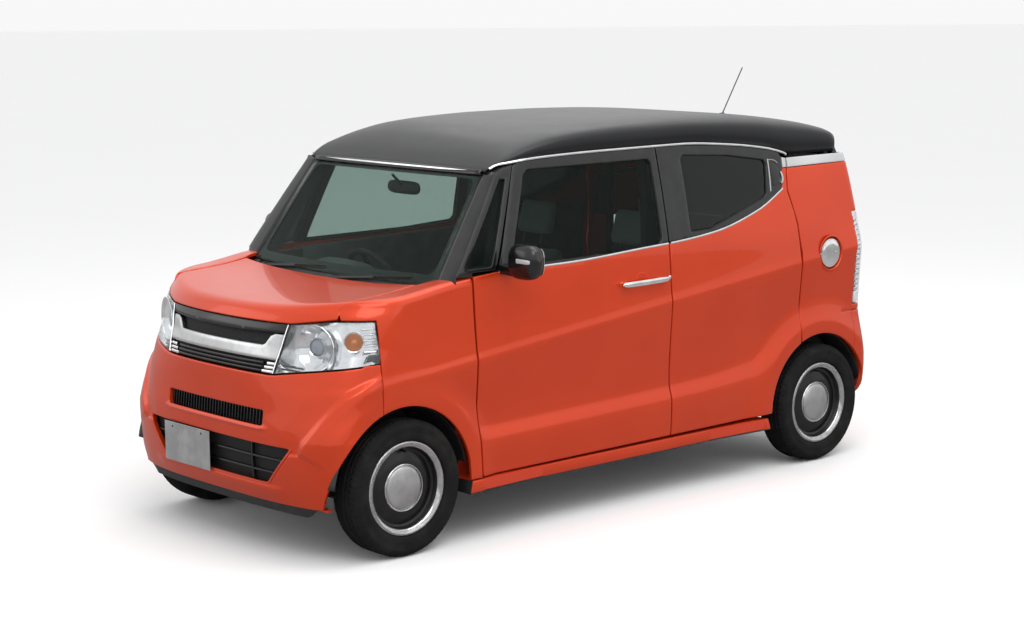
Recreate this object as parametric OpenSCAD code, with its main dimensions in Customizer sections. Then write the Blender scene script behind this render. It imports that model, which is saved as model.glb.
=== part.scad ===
// Kei car with a two-tone body: five doors, right-hand drive.
// Millimetres. The front faces -Y, the car's left is +X, +Z is up.
// The origin is on the floor, below the middle of the body's length.

/* [Body] */
// Overall length over the bumpers and plates
body_length = 3395; // [3200:5:3600]
// Width of the body without the mirrors
body_width = 1475; // [1400:5:1600]
// Height of the roof's crown above the floor
roof_height = 1670; // [1600:5:1800]
// Height of the underside of the sills
sill_height = 205; // [180:5:240]
// Thickness of the outer skin slab of a panel
skin = 22; // [16:1:30]
// Thickness of a fixed structural sheet or bulkhead
sheet = 20; // [12:1:30]
// Shut gap between a door, hood or tailgate and what it closes against
shut_gap = 9.5; // [7:0.5:12]

/* [Wheels] */
// Distance between the front and rear axles
wheelbase = 2520; // [2400:5:2600]
// Distance between the tyre centres across an axle
track = 1305; // [1260:5:1340]
// Outer diameter of a tyre
tyre_diameter = 557; // [530:1:580]
// Width of a tyre
tyre_width = 155; // [135:1:175]
// Nominal diameter of the rim at the bead
rim_diameter = 356; // [330:1:382]
// Radius of a wheel arch opening
arch_radius = 339; // [325:1:360]
// Radius of a wheel spindle
spindle_radius = 30; // [20:1:36]
// Radial clearance of the spindles, studs and hinge pins in their bores
pin_clearance = 0.05; // [0.02:0.01:0.1]

/* [Doors] */
// Distance of a door's hinge pin inside the widest part of the body
hinge_inset = 28.5; // [24:0.5:34]
// Distance of a door's hinge pin behind the door's front edge
hinge_setback = 88; // [80:1:96]
// Whole thickness of a door
door_thickness = 60; // [50:1:70]
// Radius of a door hinge pin
hinge_pin_radius = 4; // [3:0.5:5]

/* [Glass] */
// Thickness of the glass
glass = 5; // [4:0.5:8]
// Length of the roof antenna's mast
antenna_length = 270; // [150:10:400]

/* [Interior] */
// Width of one front seat
seat_width = 480; // [440:5:520]
// Diameter of the steering wheel
steering_wheel_diameter = 370; // [340:5:390]

/* [Hidden] */
$fn = 48;

paint = "orangered";
gloss_black = "#1b1d20";
trim_black = "#26282b";
steel_grey = "#77797c";
seat_grey = "#3c3d40";
tint = "#3b4a4a";

half_width = body_width / 2;
half_length = body_length / 2;
front_axle_y = 10 - wheelbase / 2;
rear_axle_y = 10 + wheelbase / 2;
wheel_x = track / 2;
tyre_radius = tyre_diameter / 2;
rim_radius = rim_diameter / 2;
front_arch_y = front_axle_y - 15;
rear_arch_y = rear_axle_y - 15;
arch_z = tyre_radius - 3.5;
nose_y = -half_length + 8.5;
tail_y = half_length;
belt_z = 1100;
strip_z = 1549;

// ---- Shape of the outer surface ----

function clamp01(t) = max(0, min(1, t));
function mix(a, b, t) = a + (b - a) * t;
// How far a superellipse of exponent n has closed in, at a share t of its length
function corner(t, n) = t <= 0 ? 1 : pow(max(0, 1 - pow(min(1, t), n)), 1 / n);

// Feature lines along the side
function crease_z(y) = 843.5 + 0.105 * y;
function band_top(y) = lookup(y, [[-1000, 476], [426, 516], [858, 568], [1100, 600]]);
function band_low(y) = lookup(y, [[-1000, 400], [426, 427], [1100, 450]]);

// Distance of the side surface inside the half width, before the wheel arch flares
function side_inset(y, z) =
    lookup(z, [[sill_height, 20], [270, 17], [band_low(y), 9], [band_top(y), 27], [crease_z(y), 1],
        [crease_z(y) + 30, 6], [belt_z, 20], [1325, 60], [strip_z, 112], [1640, 130]]);

// Share of a flare at a point: 0 outside its edge, 1 from its shoulder to the arch opening
function flare(y, z, arch_y, edge) =
    clamp01((edge - norm([y - arch_y, z - arch_z])) / (edge - arch_radius - 60));
function flares(y, z) = max(flare(y, z, front_arch_y, 493), flare(y, z, rear_arch_y, 521));

// Front end and rear end seen from the side, and the plan shape of their corners
function nose(z) = nose_y + lookup(z, [[200, 34], [250, 20], [320, 6], [420, 0], [520, 2], [600, 9],
    [740, 19], [830, 32], [940, 55], [985, 74], [1010, 96], [1100, 160]]);
function front_length(z) = lookup(z, [[500, 225], [700, 300], [850, 350]]);
function front_power(z) = lookup(z, [[500, 3], [700, 2.5], [850, 2.2]]);
function tail(z) = tail_y - lookup(z, [[200, 96], [260, 46], [340, 12], [440, 0], [600, 8], [720, 26],
    [1000, 45], [1100, 55], [1300, 91], [1450, 123], [1540, 158], [1640, 198]]);
function tail_length(z) = lookup(z, [[700, 150], [1100, 120], [1500, 80]]);
tail_power = 2.6;

// Half width of the body at a place along it and a height
function side_x(y, z) =
    (half_width - side_inset(y, z) * (1 - flares(y, z)))
    * corner((nose(z) + front_length(z) - y) / front_length(z), front_power(z))
    * corner((y - tail(z) + tail_length(z)) / tail_length(z), tail_power);

// Point on the nose at a share s of the way round from the middle (0) to the side (1)
function nose_point(s, z, in = 0) =
    let (a = 90 * s, p = 2 / front_power(z), l = front_length(z), y = nose(z) + l - (l - in) * pow(cos(a), p),
        w = half_width - side_inset(y, z) * (1 - flares(y, z)) - in)
    [w * pow(sin(a), p), y, z];
function tail_point(s, z, in = 0) =
    let (a = 90 * s, p = 2 / tail_power, l = tail_length(z), y = tail(z) - l + (l - in) * pow(cos(a), p),
        w = half_width - side_inset(y, z) * (1 - flares(y, z)) - in)
    [w * pow(sin(a), p), y, z];

// Roof: its lower edge along the side, its crown line, and its section across
function strip(y) = lookup(y, [[-715, 1500], [-660, 1526], [-400, 1544], [-90, 1549], [400, 1550],
    [725, 1530], [985, 1497], [1150, 1460], [1500, 1454]]);
function crown(y) = roof_height - lookup(y, [[-715, 163], [-600, 105], [-450, 52], [-300, 22], [-100, 8],
    [150, 1], [400, 1], [700, 7], [1000, 23], [1300, 58], [1450, 87], [1540, 118]]);
function roof_half(y) = min(side_x(y, strip_z), lookup(y, [[-715, 592], [-640, 616], [-560, 640]]));
// Point of the roof at a place along it and an angle across: 0 on the crown, 90 at the lower edge
function roof_point(y, a, in = 0) =
    let (base = min(strip(y) + 5, crown(y) - 6), p = 1 / 3, rise = crown(y) - base, w = roof_half(y))
    [sign(a) * (w - in) * pow(sin(abs(a)), p), y,
        base + (rise - in) * pow(cos(a), p) - 12 * pow(sin(abs(a)), 2) * clamp01(rise / 100) * cos(a)];

// Hood: middle line, crest of the fenders, and the surface between
function hood_mid(y) = lookup(y, [[nose_y + 60, 985], [nose_y + 82, 1000], [-1500, 1014], [-1300, 1031],
    [-1100, 1047], [-900, 1058]]);
function crest(y) = lookup(y, [[nose_y + 76, 1004], [-1493, 1031], [-1382, 1041], [-1228, 1053],
    [-1154, 1063], [-1009, 1085], [-880, 1096]]);
function hood_z(x, y) = hood_mid(y) + (crest(y) - hood_mid(y)) * pow(min(1.12, abs(x) / 620), 2.4);

// Windscreen plane with a slight bow
function screen_y(x, z) = mix(-1078, -711, (z - 1060) / 445) + mix(52, 11, (z - 1060) / 445)
    * pow(x / 600, 2);

// ---- General shapes ----

// Closed slab between two equal grids of points: outer and inner, each a list of rows
module grid_slab(outer, inner) {
    rows = len(outer);
    cols = len(outer[0]);
    count = rows * cols;
    function id(i, j) = i * cols + j;
    function quad(a, b, c, d) = [[a, b, c], [a, c, d]];
    top = [for (i = [0 : rows - 2]) for (j = [0 : cols - 2])
        each quad(id(i, j), id(i, j + 1), id(i + 1, j + 1), id(i + 1, j))];
    bottom = [for (f = top) [f[0] + count, f[2] + count, f[1] + count]];
    rim_rows = [for (i = [0 : rows - 2]) each concat(
        quad(id(i, 0), id(i + 1, 0), id(i + 1, 0) + count, id(i, 0) + count),
        quad(id(i, cols - 1), id(i, cols - 1) + count, id(i + 1, cols - 1) + count, id(i + 1, cols - 1)))];
    rim_cols = [for (j = [0 : cols - 2]) each concat(
        quad(id(0, j), id(0, j) + count, id(0, j + 1) + count, id(0, j + 1)),
        quad(id(rows - 1, j), id(rows - 1, j + 1), id(rows - 1, j + 1) + count, id(rows - 1, j) + count))];
    polyhedron(concat([for (r = outer) each r], [for (r = inner) each r]),
        concat(top, bottom, rim_rows, rim_cols));
}

function steps(a, b, n) = [for (i = [0 : n]) a + (b - a) * i / n];

// Slab behind the side surface over a range of places and heights, on the left, from one depth to another
module side_slab(ys, zs, depth, start = 0) {
    function at(y, z, in) = [side_x(y, z) - in, y, z];
    grid_slab([for (y = ys) [for (z = zs) at(y, z, start)]], [for (y = ys) [for (z = zs) at(y, z, depth)]]);
}

// Slab behind the nose or the tail, over shares of the way from the middle to the side
module nose_slab(shares, zs, depth, start = 0) {
    function at(s, z, in) = let (p = nose_point(abs(s), z, in)) [s < 0 ? -p[0] : p[0], p[1], z];
    grid_slab([for (s = shares) [for (z = zs) at(s, z, start)]],
        [for (s = shares) [for (z = zs) at(s, z, depth)]]);
}
module tail_slab(shares, zs, depth, start = 0) {
    function at(s, z, in) = let (p = tail_point(abs(s), z, in)) [s < 0 ? -p[0] : p[0], p[1], z];
    back = [for (i = [len(shares) - 1 : -1 : 0]) shares[i]];
    grid_slab([for (s = back) [for (z = zs) at(s, z, start)]],
        [for (s = back) [for (z = zs) at(s, z, depth)]]);
}
function mirrored(shares) = concat([for (i = [len(shares) - 1 : -1 : 0]) -shares[i]], [0], shares);

// Solid of an outline drawn in side view [y, z], from x0 to x1
module side_prism(outline, x0, x1) {
    translate([x0, 0, 0]) rotate([90, 0, 90]) linear_extrude(x1 - x0) polygon(outline);
}
// Solid of an outline drawn in front view [x, z], from y0 to y1
module front_prism(outline, y0, y1) {
    translate([0, y1, 0]) rotate([90, 0, 0]) linear_extrude(y1 - y0) polygon(outline);
}
// Solid of an outline drawn from above [x, y], from z0 to z1
module plan_prism(outline, z0, z1) {
    translate([0, 0, z0]) linear_extrude(z1 - z0) polygon(outline);
}
// Box given by its low and high corners
module box(low, high) {
    translate(low) cube(high - low);
}
// Straight member between two boxes
module member(low_a, high_a, low_b, high_b) {
    hull() {
        box(low_a, high_a);
        box(low_b, high_b);
    }
}
// Rod along X
module rod_x(x0, x1, y, z, r) {
    translate([x0, y, z]) rotate([0, 90, 0]) cylinder(r = r, h = x1 - x0);
}
module both_sides() {
    children();
    mirror([1, 0, 0]) children();
}
module on_right(yes) {
    mirror([yes ? 1 : 0, 0, 0]) children();
}

// ---- Outlines in side view ----

door_bottom = sill_height + 63;
pillar_y = 248;
half_gap = shut_gap / 2;
// Height of the doors' top edge, below the roof's lower edge
function door_top(y) = strip(y) + 5 - shut_gap - 1;

front_door_outline = [[-858, door_bottom], [-879, 760], [-889, 1091], [-757, 1102], [-592, door_top(-592)],
    [-400, door_top(-400)], [-90, door_top(-90)], [pillar_y - half_gap, door_top(248)],
    [pillar_y - half_gap, 1140], [pillar_y + 8 - half_gap, door_bottom + 5]];
front_window = [[-690, 1112], [-545, 1482], [-520, 1500], [pillar_y - 55, 1500], [pillar_y - 40, 1480],
    [pillar_y - 40, 1150], [pillar_y - 60, 1128], [-100, 1114], [-670, 1112]];
rear_door_outline = [[pillar_y + 8 + half_gap, door_bottom + 5], [pillar_y + half_gap, 1140],
    [pillar_y + half_gap, door_top(258)], [400, door_top(400)], [725, door_top(725)], [985, door_top(985)],
    [1086, door_top(1086)], [1072, 1385], [1062, 1300], [1104, 1142], [1113, 926], [1112, 766],
    [1114, arch_z + 200], [rear_arch_y, arch_z + 100], [940, 279], [700, 275]];
rear_window = [[pillar_y + 145, 1165], [pillar_y + 145, 1490], [pillar_y + 165, 1505], [700, 1486],
    [940, 1452], [950, 1430], [925, 1300], [905, 1280], [520, 1168]];
quarter_top = 1452;
quarter_outline = [[1086 + shut_gap, quarter_top], [1072 + shut_gap, 1385], [1062 + shut_gap, 1302],
    [1104 + shut_gap, 1142], [1113 + shut_gap, 926], [1112 + shut_gap, 766], [1114 + shut_gap, arch_z + 200],
    [rear_arch_y, arch_z + 250], [1500, 560], [1500, 700], [1800, 700], [1800, quarter_top]];
// The tail lamp seen from the side, and the line down the car's rear where lamp and tailgate meet
lamp_outline = [[1534, 727], [1530, 1172], [1800, 1172], [1800, 727]];
function tailgate_half(z) = lookup(z, [[575, 572], [720, 598], [1180, 592], [1430, 584], [1520, 560]]);
tailgate_zs = [575, 720, 1180, 1430, 1505];
function tailgate_outline(out) = concat(
    [for (z = tailgate_zs) [tailgate_half(z) + out, z == 575 ? z - out : z == 1505 ? z + out : z]],
    [for (i = [4 : -1 : 0]) let (z = tailgate_zs[i])
        [-tailgate_half(z) - out, z == 575 ? z - out : z == 1505 ? z + out : z]]);
tailgate_window = [[-520, 1130], [-505, 1400], [-480, 1440], [480, 1440], [505, 1400], [520, 1130],
    [490, 1095], [-490, 1095]];

module arch_cut(y, r) {
    rod_x(300, 900, y, arch_z, r);
}

// Heights at which the side panels' grids are set out
low_zs = [door_bottom - 8, 330, 372, 404, 424, 478, 516, 560, 640, 700, 760, 800, 840, 890, 960];
high_zs = [1030, 1100, 1170, 1240, 1325, 1400, 1475, 1555];
panel_zs = concat(low_zs, high_zs);

// ---- Moving panels ----

hinge_x = half_width - hinge_inset;
front_hinge_y = -878 + hinge_setback;
rear_hinge_y = pillar_y + 14 + hinge_setback;
hinge_heights = [388, 780];
seam_y = -1378;
seat_gap = 0.3;
eye_radius = hinge_pin_radius + 3.5;

// Eyes of a door's hinges: each turns on a pin of the body, above the body's arm
module door_eyes(y) {
    for (z = hinge_heights) {
        translate([hinge_x, y, z]) cylinder(r = eye_radius, h = 30);
        box([hinge_x - eye_radius, y, z], [hinge_x + eye_radius, y + 30, z + 30]);
    }
}
// Room inside a door's skin for the arms of its hinges
module hinge_pockets(y) {
    for (z = hinge_heights) {
        box([600, y - 56, z - 30], [hinge_x + eye_radius + 1.5, y + 15, z - 0.15]);
        translate([hinge_x, y, z - 1]) cylinder(r = hinge_pin_radius + pin_clearance, h = 40);
    }
}
// Arm and pin of the body for each hinge of a door
module hinge_arms(y) {
    for (z = hinge_heights) {
        box([604 + seat_gap, y - eye_radius, z - 24], [hinge_x, y + eye_radius, z - 0.3]);
        translate([hinge_x, y, z - 24]) cylinder(r = eye_radius, h = 23.7);
        translate([hinge_x, y, z - 10]) cylinder(r = hinge_pin_radius, h = 36);
    }
}

pad_front = 16;
module front_door(right) {
    color(paint) on_right(right) difference() {
        union() {
            intersection() {
                side_slab([-900, -870, -830, -780, -700, -550, -380, -150, 100, 260], panel_zs, skin);
                side_prism(front_door_outline, 500, 900);
            }
            intersection() {
                side_slab([-790, -550, -250, 50, 240], [270, 400, 500, 700, 900, 1110], door_thickness, 10);
                side_prism([[front_hinge_y + pad_front, door_bottom + 20], [front_hinge_y + pad_front, 1085],
                    [pillar_y - 45, 1105], [pillar_y - 40, door_bottom + 24]], 500, 900);
            }
            door_eyes(front_hinge_y);
            handle_bar(-72, 218, 980);
        }
        hinge_pockets(front_hinge_y);
        side_prism(front_window, 500, 900);
    }
}
// Pull handle of a front door
module handle_bar(y0, y1, z) {
    x = side_x((y0 + y1) / 2, z);
    box([x - 6, y0 + 20, z - 12], [x + 16, y0 + 50, z + 12]);
    box([x - 6, y1 - 50, z - 12], [x + 16, y1 - 20, z + 12]);
    box([x + 16, y0, z - 13], [x + 32, y1, z + 13]);
}
module rear_door(right) {
    color(paint) on_right(right) difference() {
        union() {
            intersection() {
                side_slab([250, 290, 400, 550, 700, 800, 880, 960, 1040, 1130], panel_zs, skin);
                side_prism(rear_door_outline, 500, 900);
            }
            intersection() {
                side_slab([340, 550, 750, 1080], [270, 400, 500, 700, 900, 1150], door_thickness, 10);
                side_prism([[rear_hinge_y + pad_front, door_bottom + 24], [rear_hinge_y + pad_front, 1145],
                    [700, 1150], [1070, 1145], [1070, 800], [880, 560], [820, door_bottom + 30]], 500, 900);
            }
            door_eyes(rear_hinge_y);
        }
        hinge_pockets(rear_hinge_y);
        side_prism(rear_window, 500, 900);
        arch_cut(rear_arch_y, arch_radius);
    }
}
// Glass of a side door, standing in the window's frame
module door_glass(right, window, ys, zs) {
    color(tint) on_right(right) intersection() {
        side_slab(ys, zs, 8 + glass, 8);
        side_prism(window, 500, 900);
    }
}

// Mirror housing on its foot, at the front corner of a front door's window
module mirror_housing(right) {
    color(gloss_black) on_right(right) {
        hull() {
            translate([835, -735, 1148]) scale(1) cube([120, 70, 60], center = true);
            translate([845, -745, 1152]) cube([150, 34, 130], center = true);
            translate([850, -690, 1150]) cube([170, 10, 150], center = true);
        }
        hull() {
            translate([790, -712, 1095]) cube([60, 40, 26], center = true);
            translate([side_x(-715, 1095) + 5.3, -712, 1112]) cube([10, 70, 34], center = true);
        }
    }
}

hood_axis_y = -1040;
hood_axis_z = 1050;
module hood() {
    ys = [-1075, -1154, -1228, -1382, -1493, -1560, -1607];
    xs = steps(-610, 610, 10);
    front = [for (t = steps(-0.56, 0.56, 12)) let (q = nose_point(abs(t), 990)) [sign(t) * q[0], q[1]]];
    outline = concat(front, [[594, -1360], [588, -1090], [400, -1098], [0, -1102], [-400, -1098],
        [-588, -1090], [-594, -1360]]);
    color(paint) difference() {
        union() {
            intersection() {
                union() {
                    grid_slab([for (y = ys) [for (x = xs) [x, y, hood_z(x, y)]]],
                        [for (y = ys) [for (x = xs) [x, y, hood_z(x, y) - 16]]]);
                    nose_slab([-0.66, -0.55, -0.4, -0.2, 0, 0.2, 0.4, 0.55, 0.66],
                        [940, 958, 975, 990, 1005], 16);
                }
                plan_prism(outline, 900, 1200);
                front_prism([[-594, 972], [-415, 946], [415, 946], [594, 972], [594, 1200], [-594, 1200]],
                    -1700, -1000);
            }
            both_sides() {
                box([553, -1160, hood_axis_z - 8], [567, hood_axis_y, hood_axis_z + 4]);
                rod_x(553, 567, hood_axis_y, hood_axis_z, 9);
            }
        }
        both_sides() rod_x(540, 580, hood_axis_y, hood_axis_z, 5 + pin_clearance);
    }
}

tailgate_axis_y = 1496;
tailgate_axis_z = 1524;
module tailgate() {
    color(paint) difference() {
        union() {
            both_sides() {
                box([393, tailgate_axis_y, tailgate_axis_z - 15], [407, 1560, tailgate_axis_z - 7]);
                box([393, 1530, 1470], [407, 1545, tailgate_axis_z - 7]);
                rod_x(393, 407, tailgate_axis_y, tailgate_axis_z, 9);
            }
            intersection() {
                tail_slab(mirrored([0.25, 0.45, 0.6, 0.7, 0.8]),
                    [560, 720, 850, 1000, 1100, 1200, 1300, 1450, 1520], 40);
                front_prism(tailgate_outline(0), 1500 + shut_gap, 1800);
            }
        }
        front_prism(tailgate_window, 1300, 1800);
        both_sides() rod_x(380, 440, tailgate_axis_y, tailgate_axis_z, 5 + pin_clearance);
    }
}
module tailgate_glass() {
    color(tint) intersection() {
        tail_slab(mirrored([0.25, 0.5, 0.7]), [1080, 1100, 1200, 1300, 1450], 10 + glass, 10);
        front_prism(tailgate_window, 1300, 1800);
    }
}

fuel_lid_y = 1324;
fuel_lid_z = 992;
fuel_lid_radius = 68;
fuel_x = side_x(fuel_lid_y, fuel_lid_z);
fuel_pin_y = fuel_lid_y - fuel_lid_radius - 1.5;
fuel_pin_x = side_x(fuel_pin_y, fuel_lid_z) - 6;
module fuel_lid() {
    color("silver") difference() {
        union() {
            difference() {
                rod_x(fuel_x - 14, fuel_x - 2, fuel_lid_y, fuel_lid_z, fuel_lid_radius);
                box([500, fuel_pin_y - 9, fuel_lid_z - 17], [900, fuel_pin_y + 8, fuel_lid_z + 17]);
            }
            box([fuel_pin_x - 4, fuel_pin_y, fuel_lid_z - 5], [fuel_x - 3, fuel_pin_y + 12, fuel_lid_z + 5]);
            translate([fuel_pin_x, fuel_pin_y, fuel_lid_z - 5]) cylinder(r = 4.5, h = 10);
        }
        translate([fuel_pin_x, fuel_pin_y, fuel_lid_z - 20]) cylinder(r = 2 + pin_clearance, h = 40);
    }
}

// ---- Fixed panels ----

module front_fenders() {
    outline = [[seam_y + seat_gap, 798], [seam_y + seat_gap, 1200], [-880, 1200],
        [-889 - shut_gap, 1091], [-879 - shut_gap, 760], [-858 - shut_gap, sill_height + 60],
        [-930, sill_height + 60], [-960, arch_z + 60], [seam_y + seat_gap, arch_z + 100]];
    color(paint) both_sides() {
        difference() {
            intersection() {
                side_slab([-1390, -1340, -1265, -1180, -1090, -1010, -950, -860],
                    concat(low_zs, [1030, 1100]), skin);
                side_prism(outline, 500, 900);
                fender_below();
            }
            arch_cut(front_arch_y, arch_radius);
        }
        fender_top();
    }
}
// Upper face of a fender, from the hood's edge to its crest
module fender_top() {
    ys = [-990, -1009, -1090, -1154, -1228, -1300, -1382, -1440, -1490];
    function at(y, t, z) = let (x = mix(lookup(y, [[-1090, 601], [-1009, 632]]), side_x(y, crest(y)) - skin + 4, t)) [x, y, hood_z(x, y) - z];
    grid_slab([for (y = ys) [for (t = [0, 0.5, 1]) at(y, t, 0)]],
        [for (y = ys) [for (t = [0, 0.5, 1]) at(y, t, 14)]]);
}
// Everything lower than the crest of the fenders
module fender_below() {
    ys = [-860, -1009, -1154, -1228, -1382, -1500];
    grid_slab([for (y = ys) [for (x = [500, 620, 700, 760]) [x, y, crest(y) - max(0, x - 690) * 0.3]]],
        [for (y = ys) [for (x = [500, 620, 700, 760]) [x, y, 150]]]);
}

quarter_ys = [1050, 1100, 1170, 1255, 1340, 1420, 1480, 1520, 1545];
quarter_zs = concat([560, 640, 700, 760, 820, 880, 940, 1000], high_zs);
module quarter_panels() {
    zs = quarter_zs;
    color(paint) both_sides() difference() {
        intersection() {
            union() {
                side_slab(quarter_ys, zs, skin);
                tail_slab([0.5, 0.65, 0.75, 0.85, 0.93, 1], zs, skin);
            }
            side_prism(quarter_outline, 500, 900);
        }
        arch_cut(rear_arch_y, arch_radius);
        rod_x(500, 900, fuel_lid_y, fuel_lid_z, fuel_lid_radius + shut_gap);
        front_prism(tailgate_outline(shut_gap), 1300, 1800);
        side_prism(lamp_outline, 500, 900);
    }
}

module front_bumper() {
    zs = [sill_height + 20, 250, 320, 380, 420, 465, 520, 600, 700, 745, 800];
    outline = [[-half_width, sill_height + 25], [half_width, sill_height + 25], [half_width + 10, 300],
        [760, 798], [700, 790], [372, 745], [-372, 745], [-700, 790], [-760, 798],
        [-half_width - 10, 300]];
    color(paint) difference() {
        intersection() {
            union() {
                nose_slab(mirrored([0.15, 0.33, 0.5, 0.66, 0.8, 0.9, 1]), zs, skin);
                both_sides() side_slab([-1500, -1460, -1420, -1370], zs, skin);
            }
            front_prism(outline, -1750, seam_y);
        }
        front_prism(slot_outline, -1750, -1400);
        front_prism(intake_outline, -1750, -1400);
        both_sides() arch_cut(front_arch_y, arch_radius);
    }
}
slot_outline = [[-335, 539], [-335, 600], [335, 600], [335, 539]];
intake_outline = [[-364, 307], [-508, 465], [508, 465], [364, 307]];

module rear_bumper() {
    zs = [sill_height + 30, 260, 340, 440, 560, 640, 710];
    color(paint) difference() {
        intersection() {
            union() {
                tail_slab(mirrored([0.4, 0.66, 0.85, 1]), zs, skin);
                both_sides() side_slab([1490, 1520, 1560], zs, skin);
            }
            front_prism([[-760, sill_height + 32], [-760, 700 - seat_gap], [-606, 700 - seat_gap], [-585, 562],
                [585, 562], [606, 700 - seat_gap], [760, 700 - seat_gap], [760, sill_height + 32]],
                1500 + seat_gap, 1800);
        }
        both_sides() arch_cut(rear_arch_y, arch_radius);
    }
}

module roof_panel() {
    ys = [1500, 1450, 1300, 1050, 800, 500, 330, 230, 150, -100, -300, -450, -600, -660, -715];
    angles = [-90, -88, -84, -72, -50, -25, -8, -1, 0, 1, 8, 25, 50, 72, 84, 88, 90];
    color(gloss_black) {
        grid_slab([for (y = ys) [for (a = angles) roof_point(y, a)]],
            [for (y = ys) [for (a = angles) roof_point(y, a, 14)]]);
    }
}

module cowl_and_wipers() {
    xs = steps(-535, 535, 8);
    color(trim_black) {
        plan_prism([[-535, -1078], [-250, -1090], [250, -1090], [535, -1078], [535, -1030], [250, -1058],
            [-250, -1058], [-535, -1030]], 1018 + seat_gap, 1036);
        plan_prism(concat([for (x = xs) [x, screen_y(x, 1060) - 3]],
            [for (x = steps(535, -535, 8)) [x, screen_y(x, 1060) + 13]]), 1019, 1060 - seat_gap);
        wiper(-500);
        wiper(40);
    }
}
// Arm and blade lying on the windscreen, from the pivot side to the tip
module wiper(x0) {
    function at(t) = let (x = x0 + 450 * t, z = mix(1064, 1092, t)) [x, screen_y(x, z) - 10, z];
    for (t = [0, 1 / 3, 2 / 3]) hull() {
        translate(at(t)) sphere(r = 7, $fn = 10);
        translate(at(t + 1 / 3)) sphere(r = 7, $fn = 10);
    }
    translate([x0, at(0)[1], 1030]) cylinder(r = 6, h = 29);
}

screen_zs = steps(1060, 1488, 6);
function screen_half(z) = mix(620, 566, (z - 1060) / 440);
module fixed_glass() {
    xs = steps(-1, 1, 8);
    function at(s, z, in) = let (x = s * screen_half(z)) [x, screen_y(x, z) + in, z];
    color(tint) {
        grid_slab([for (s = xs) [for (z = screen_zs) at(s, z, 0)]],
            [for (s = xs) [for (z = screen_zs) at(s, z, glass + 2)]]);
        both_sides() intersection() {
            side_slab([-1010, -900, -800, -600], [1090, 1200, 1325, 1500], 8 + glass, 8);
            side_prism(quarter_light, 500, 900);
        }
    }
}
quarter_light = [[-935, 1124], [-790, 1124], [-650, 1470], [-684, 1470]];

module headlamps() {
    color("white") both_sides() intersection() {
        nose_slab([0.3, 0.4, 0.5, 0.6, 0.72, 0.86, 1], [740, 790, 850, 900, 945, 975], 70);
        front_prism([[374, 745 + seat_gap], [412, 944], [594, 966], [760, 966], [760, 798 + seat_gap],
            [700, 790 + seat_gap]], -1750, seam_y);
    }
}
module tail_lamps() {
    color("white") both_sides() intersection() {
        union() {
            tail_slab([0.5, 0.65, 0.8, 0.9, 1], [720, 850, 1000, 1100, 1180], 50);
            side_slab([1520, 1535, 1550], [720, 850, 1000, 1100, 1180], 50);
        }
        front_prism([[tailgate_half(727) + shut_gap, 727.3], [tailgate_half(1172) + shut_gap, 1171.7],
            [760, 1171.7], [760, 727.3]], lamp_outline[0][0] + seat_gap, 1800);
    }
}
// Inserts behind the front's openings, following the nose
module grille_insert(outline, shares, zs) {
    intersection() {
        nose_slab(mirrored(shares), zs, skin + 14, skin + seat_gap);
        front_prism(outline, -1750, -1363);
    }
}
module grilles() {
    color(trim_black) {
        intersection() {
            nose_slab(mirrored([0.15, 0.3, 0.5]), [740, 790, 850, 900, 945], 30, 6);
            front_prism([[-368, 745 + seat_gap], [-405, 938], [405, 938], [368, 745 + seat_gap]], -1750, -1363);
        }
        grille_insert([[-355, 525], [-355, 614], [355, 614], [355, 525]], [0.15, 0.33, 0.5],
            [465, 520, 600, 700]);
        grille_insert([[-360, 290], [-530, 484], [530, 484], [360, 290]], [0.15, 0.33, 0.5, 0.66],
            [250, 320, 380, 420, 465, 520]);
    }
}
front_plate_y = -half_length;
module front_plate() {
    color("lightgrey") {
        box([-340, front_plate_y, 300], [-10, front_plate_y + 6, 465]);
        box([-240, front_plate_y + 6, 340], [-110, nose(380) + skin - 2 * seat_gap, 420]);
    }
}
module rear_plate() {
    y = tail(760) + seat_gap;
    color("lightgrey") box([-165, y, 760], [165, y + 6, 925]);
}
module antenna() {
    color(trim_black) {
        translate([0, 1358, crown(1336) + seat_gap]) cylinder(r = 22, h = 12);
        translate([0, 1358, crown(1336) + 6]) rotate([-33, 0, 0]) cylinder(r = 3, h = antenna_length);
    }
}

// ---- Structure ----

module body_shell() {
    color("dimgray") {
        floor_pan();
        bulkheads();
        roof_bow();
        both_sides() {
            pillars();
            screen_corner();
            front_wheelhouse();
            rear_wheelhouse();
            sill();
            quarter_web();
        }
    }
}
floor_z = sill_height + 5;
rear_floor_z = 350;
module floor_pan() {
    box([-640, -925, floor_z], [640, 905, floor_z + sheet]);
    box([-640, 886, floor_z + 2], [640, 904, rear_floor_z - 1]);
    box([-552, 888, rear_floor_z - sheet], [552, 1555, rear_floor_z]);
}
module sill() {
    intersection() {
        side_slab([-945, -860, -500, 0, 500, 860, 915], [sill_height, sill_height + 25, sill_height + 57], 150);
        side_prism([[-936, sill_height], [-925, sill_height + 53], [885, sill_height + 53],
            [905, sill_height]], 500, 900);
    }
}
module bulkheads() {
    box([-628, -924, floor_z + 1], [628, -906, 1035]);
    box([-599, -1030, 1000], [599, -907, 1018]);
    box([-401, -1548, 331], [401, -1535, 738]);
    box([-365, -1547, 737], [365, -1536, 892]);
    box([-618, -1371, 885], [618, -1353, 938]);
    box([-552, 1541, 332], [552, 1554, 552]);
    box([-571, 1440, 1497], [571, 1465, 1530]);
}
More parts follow.
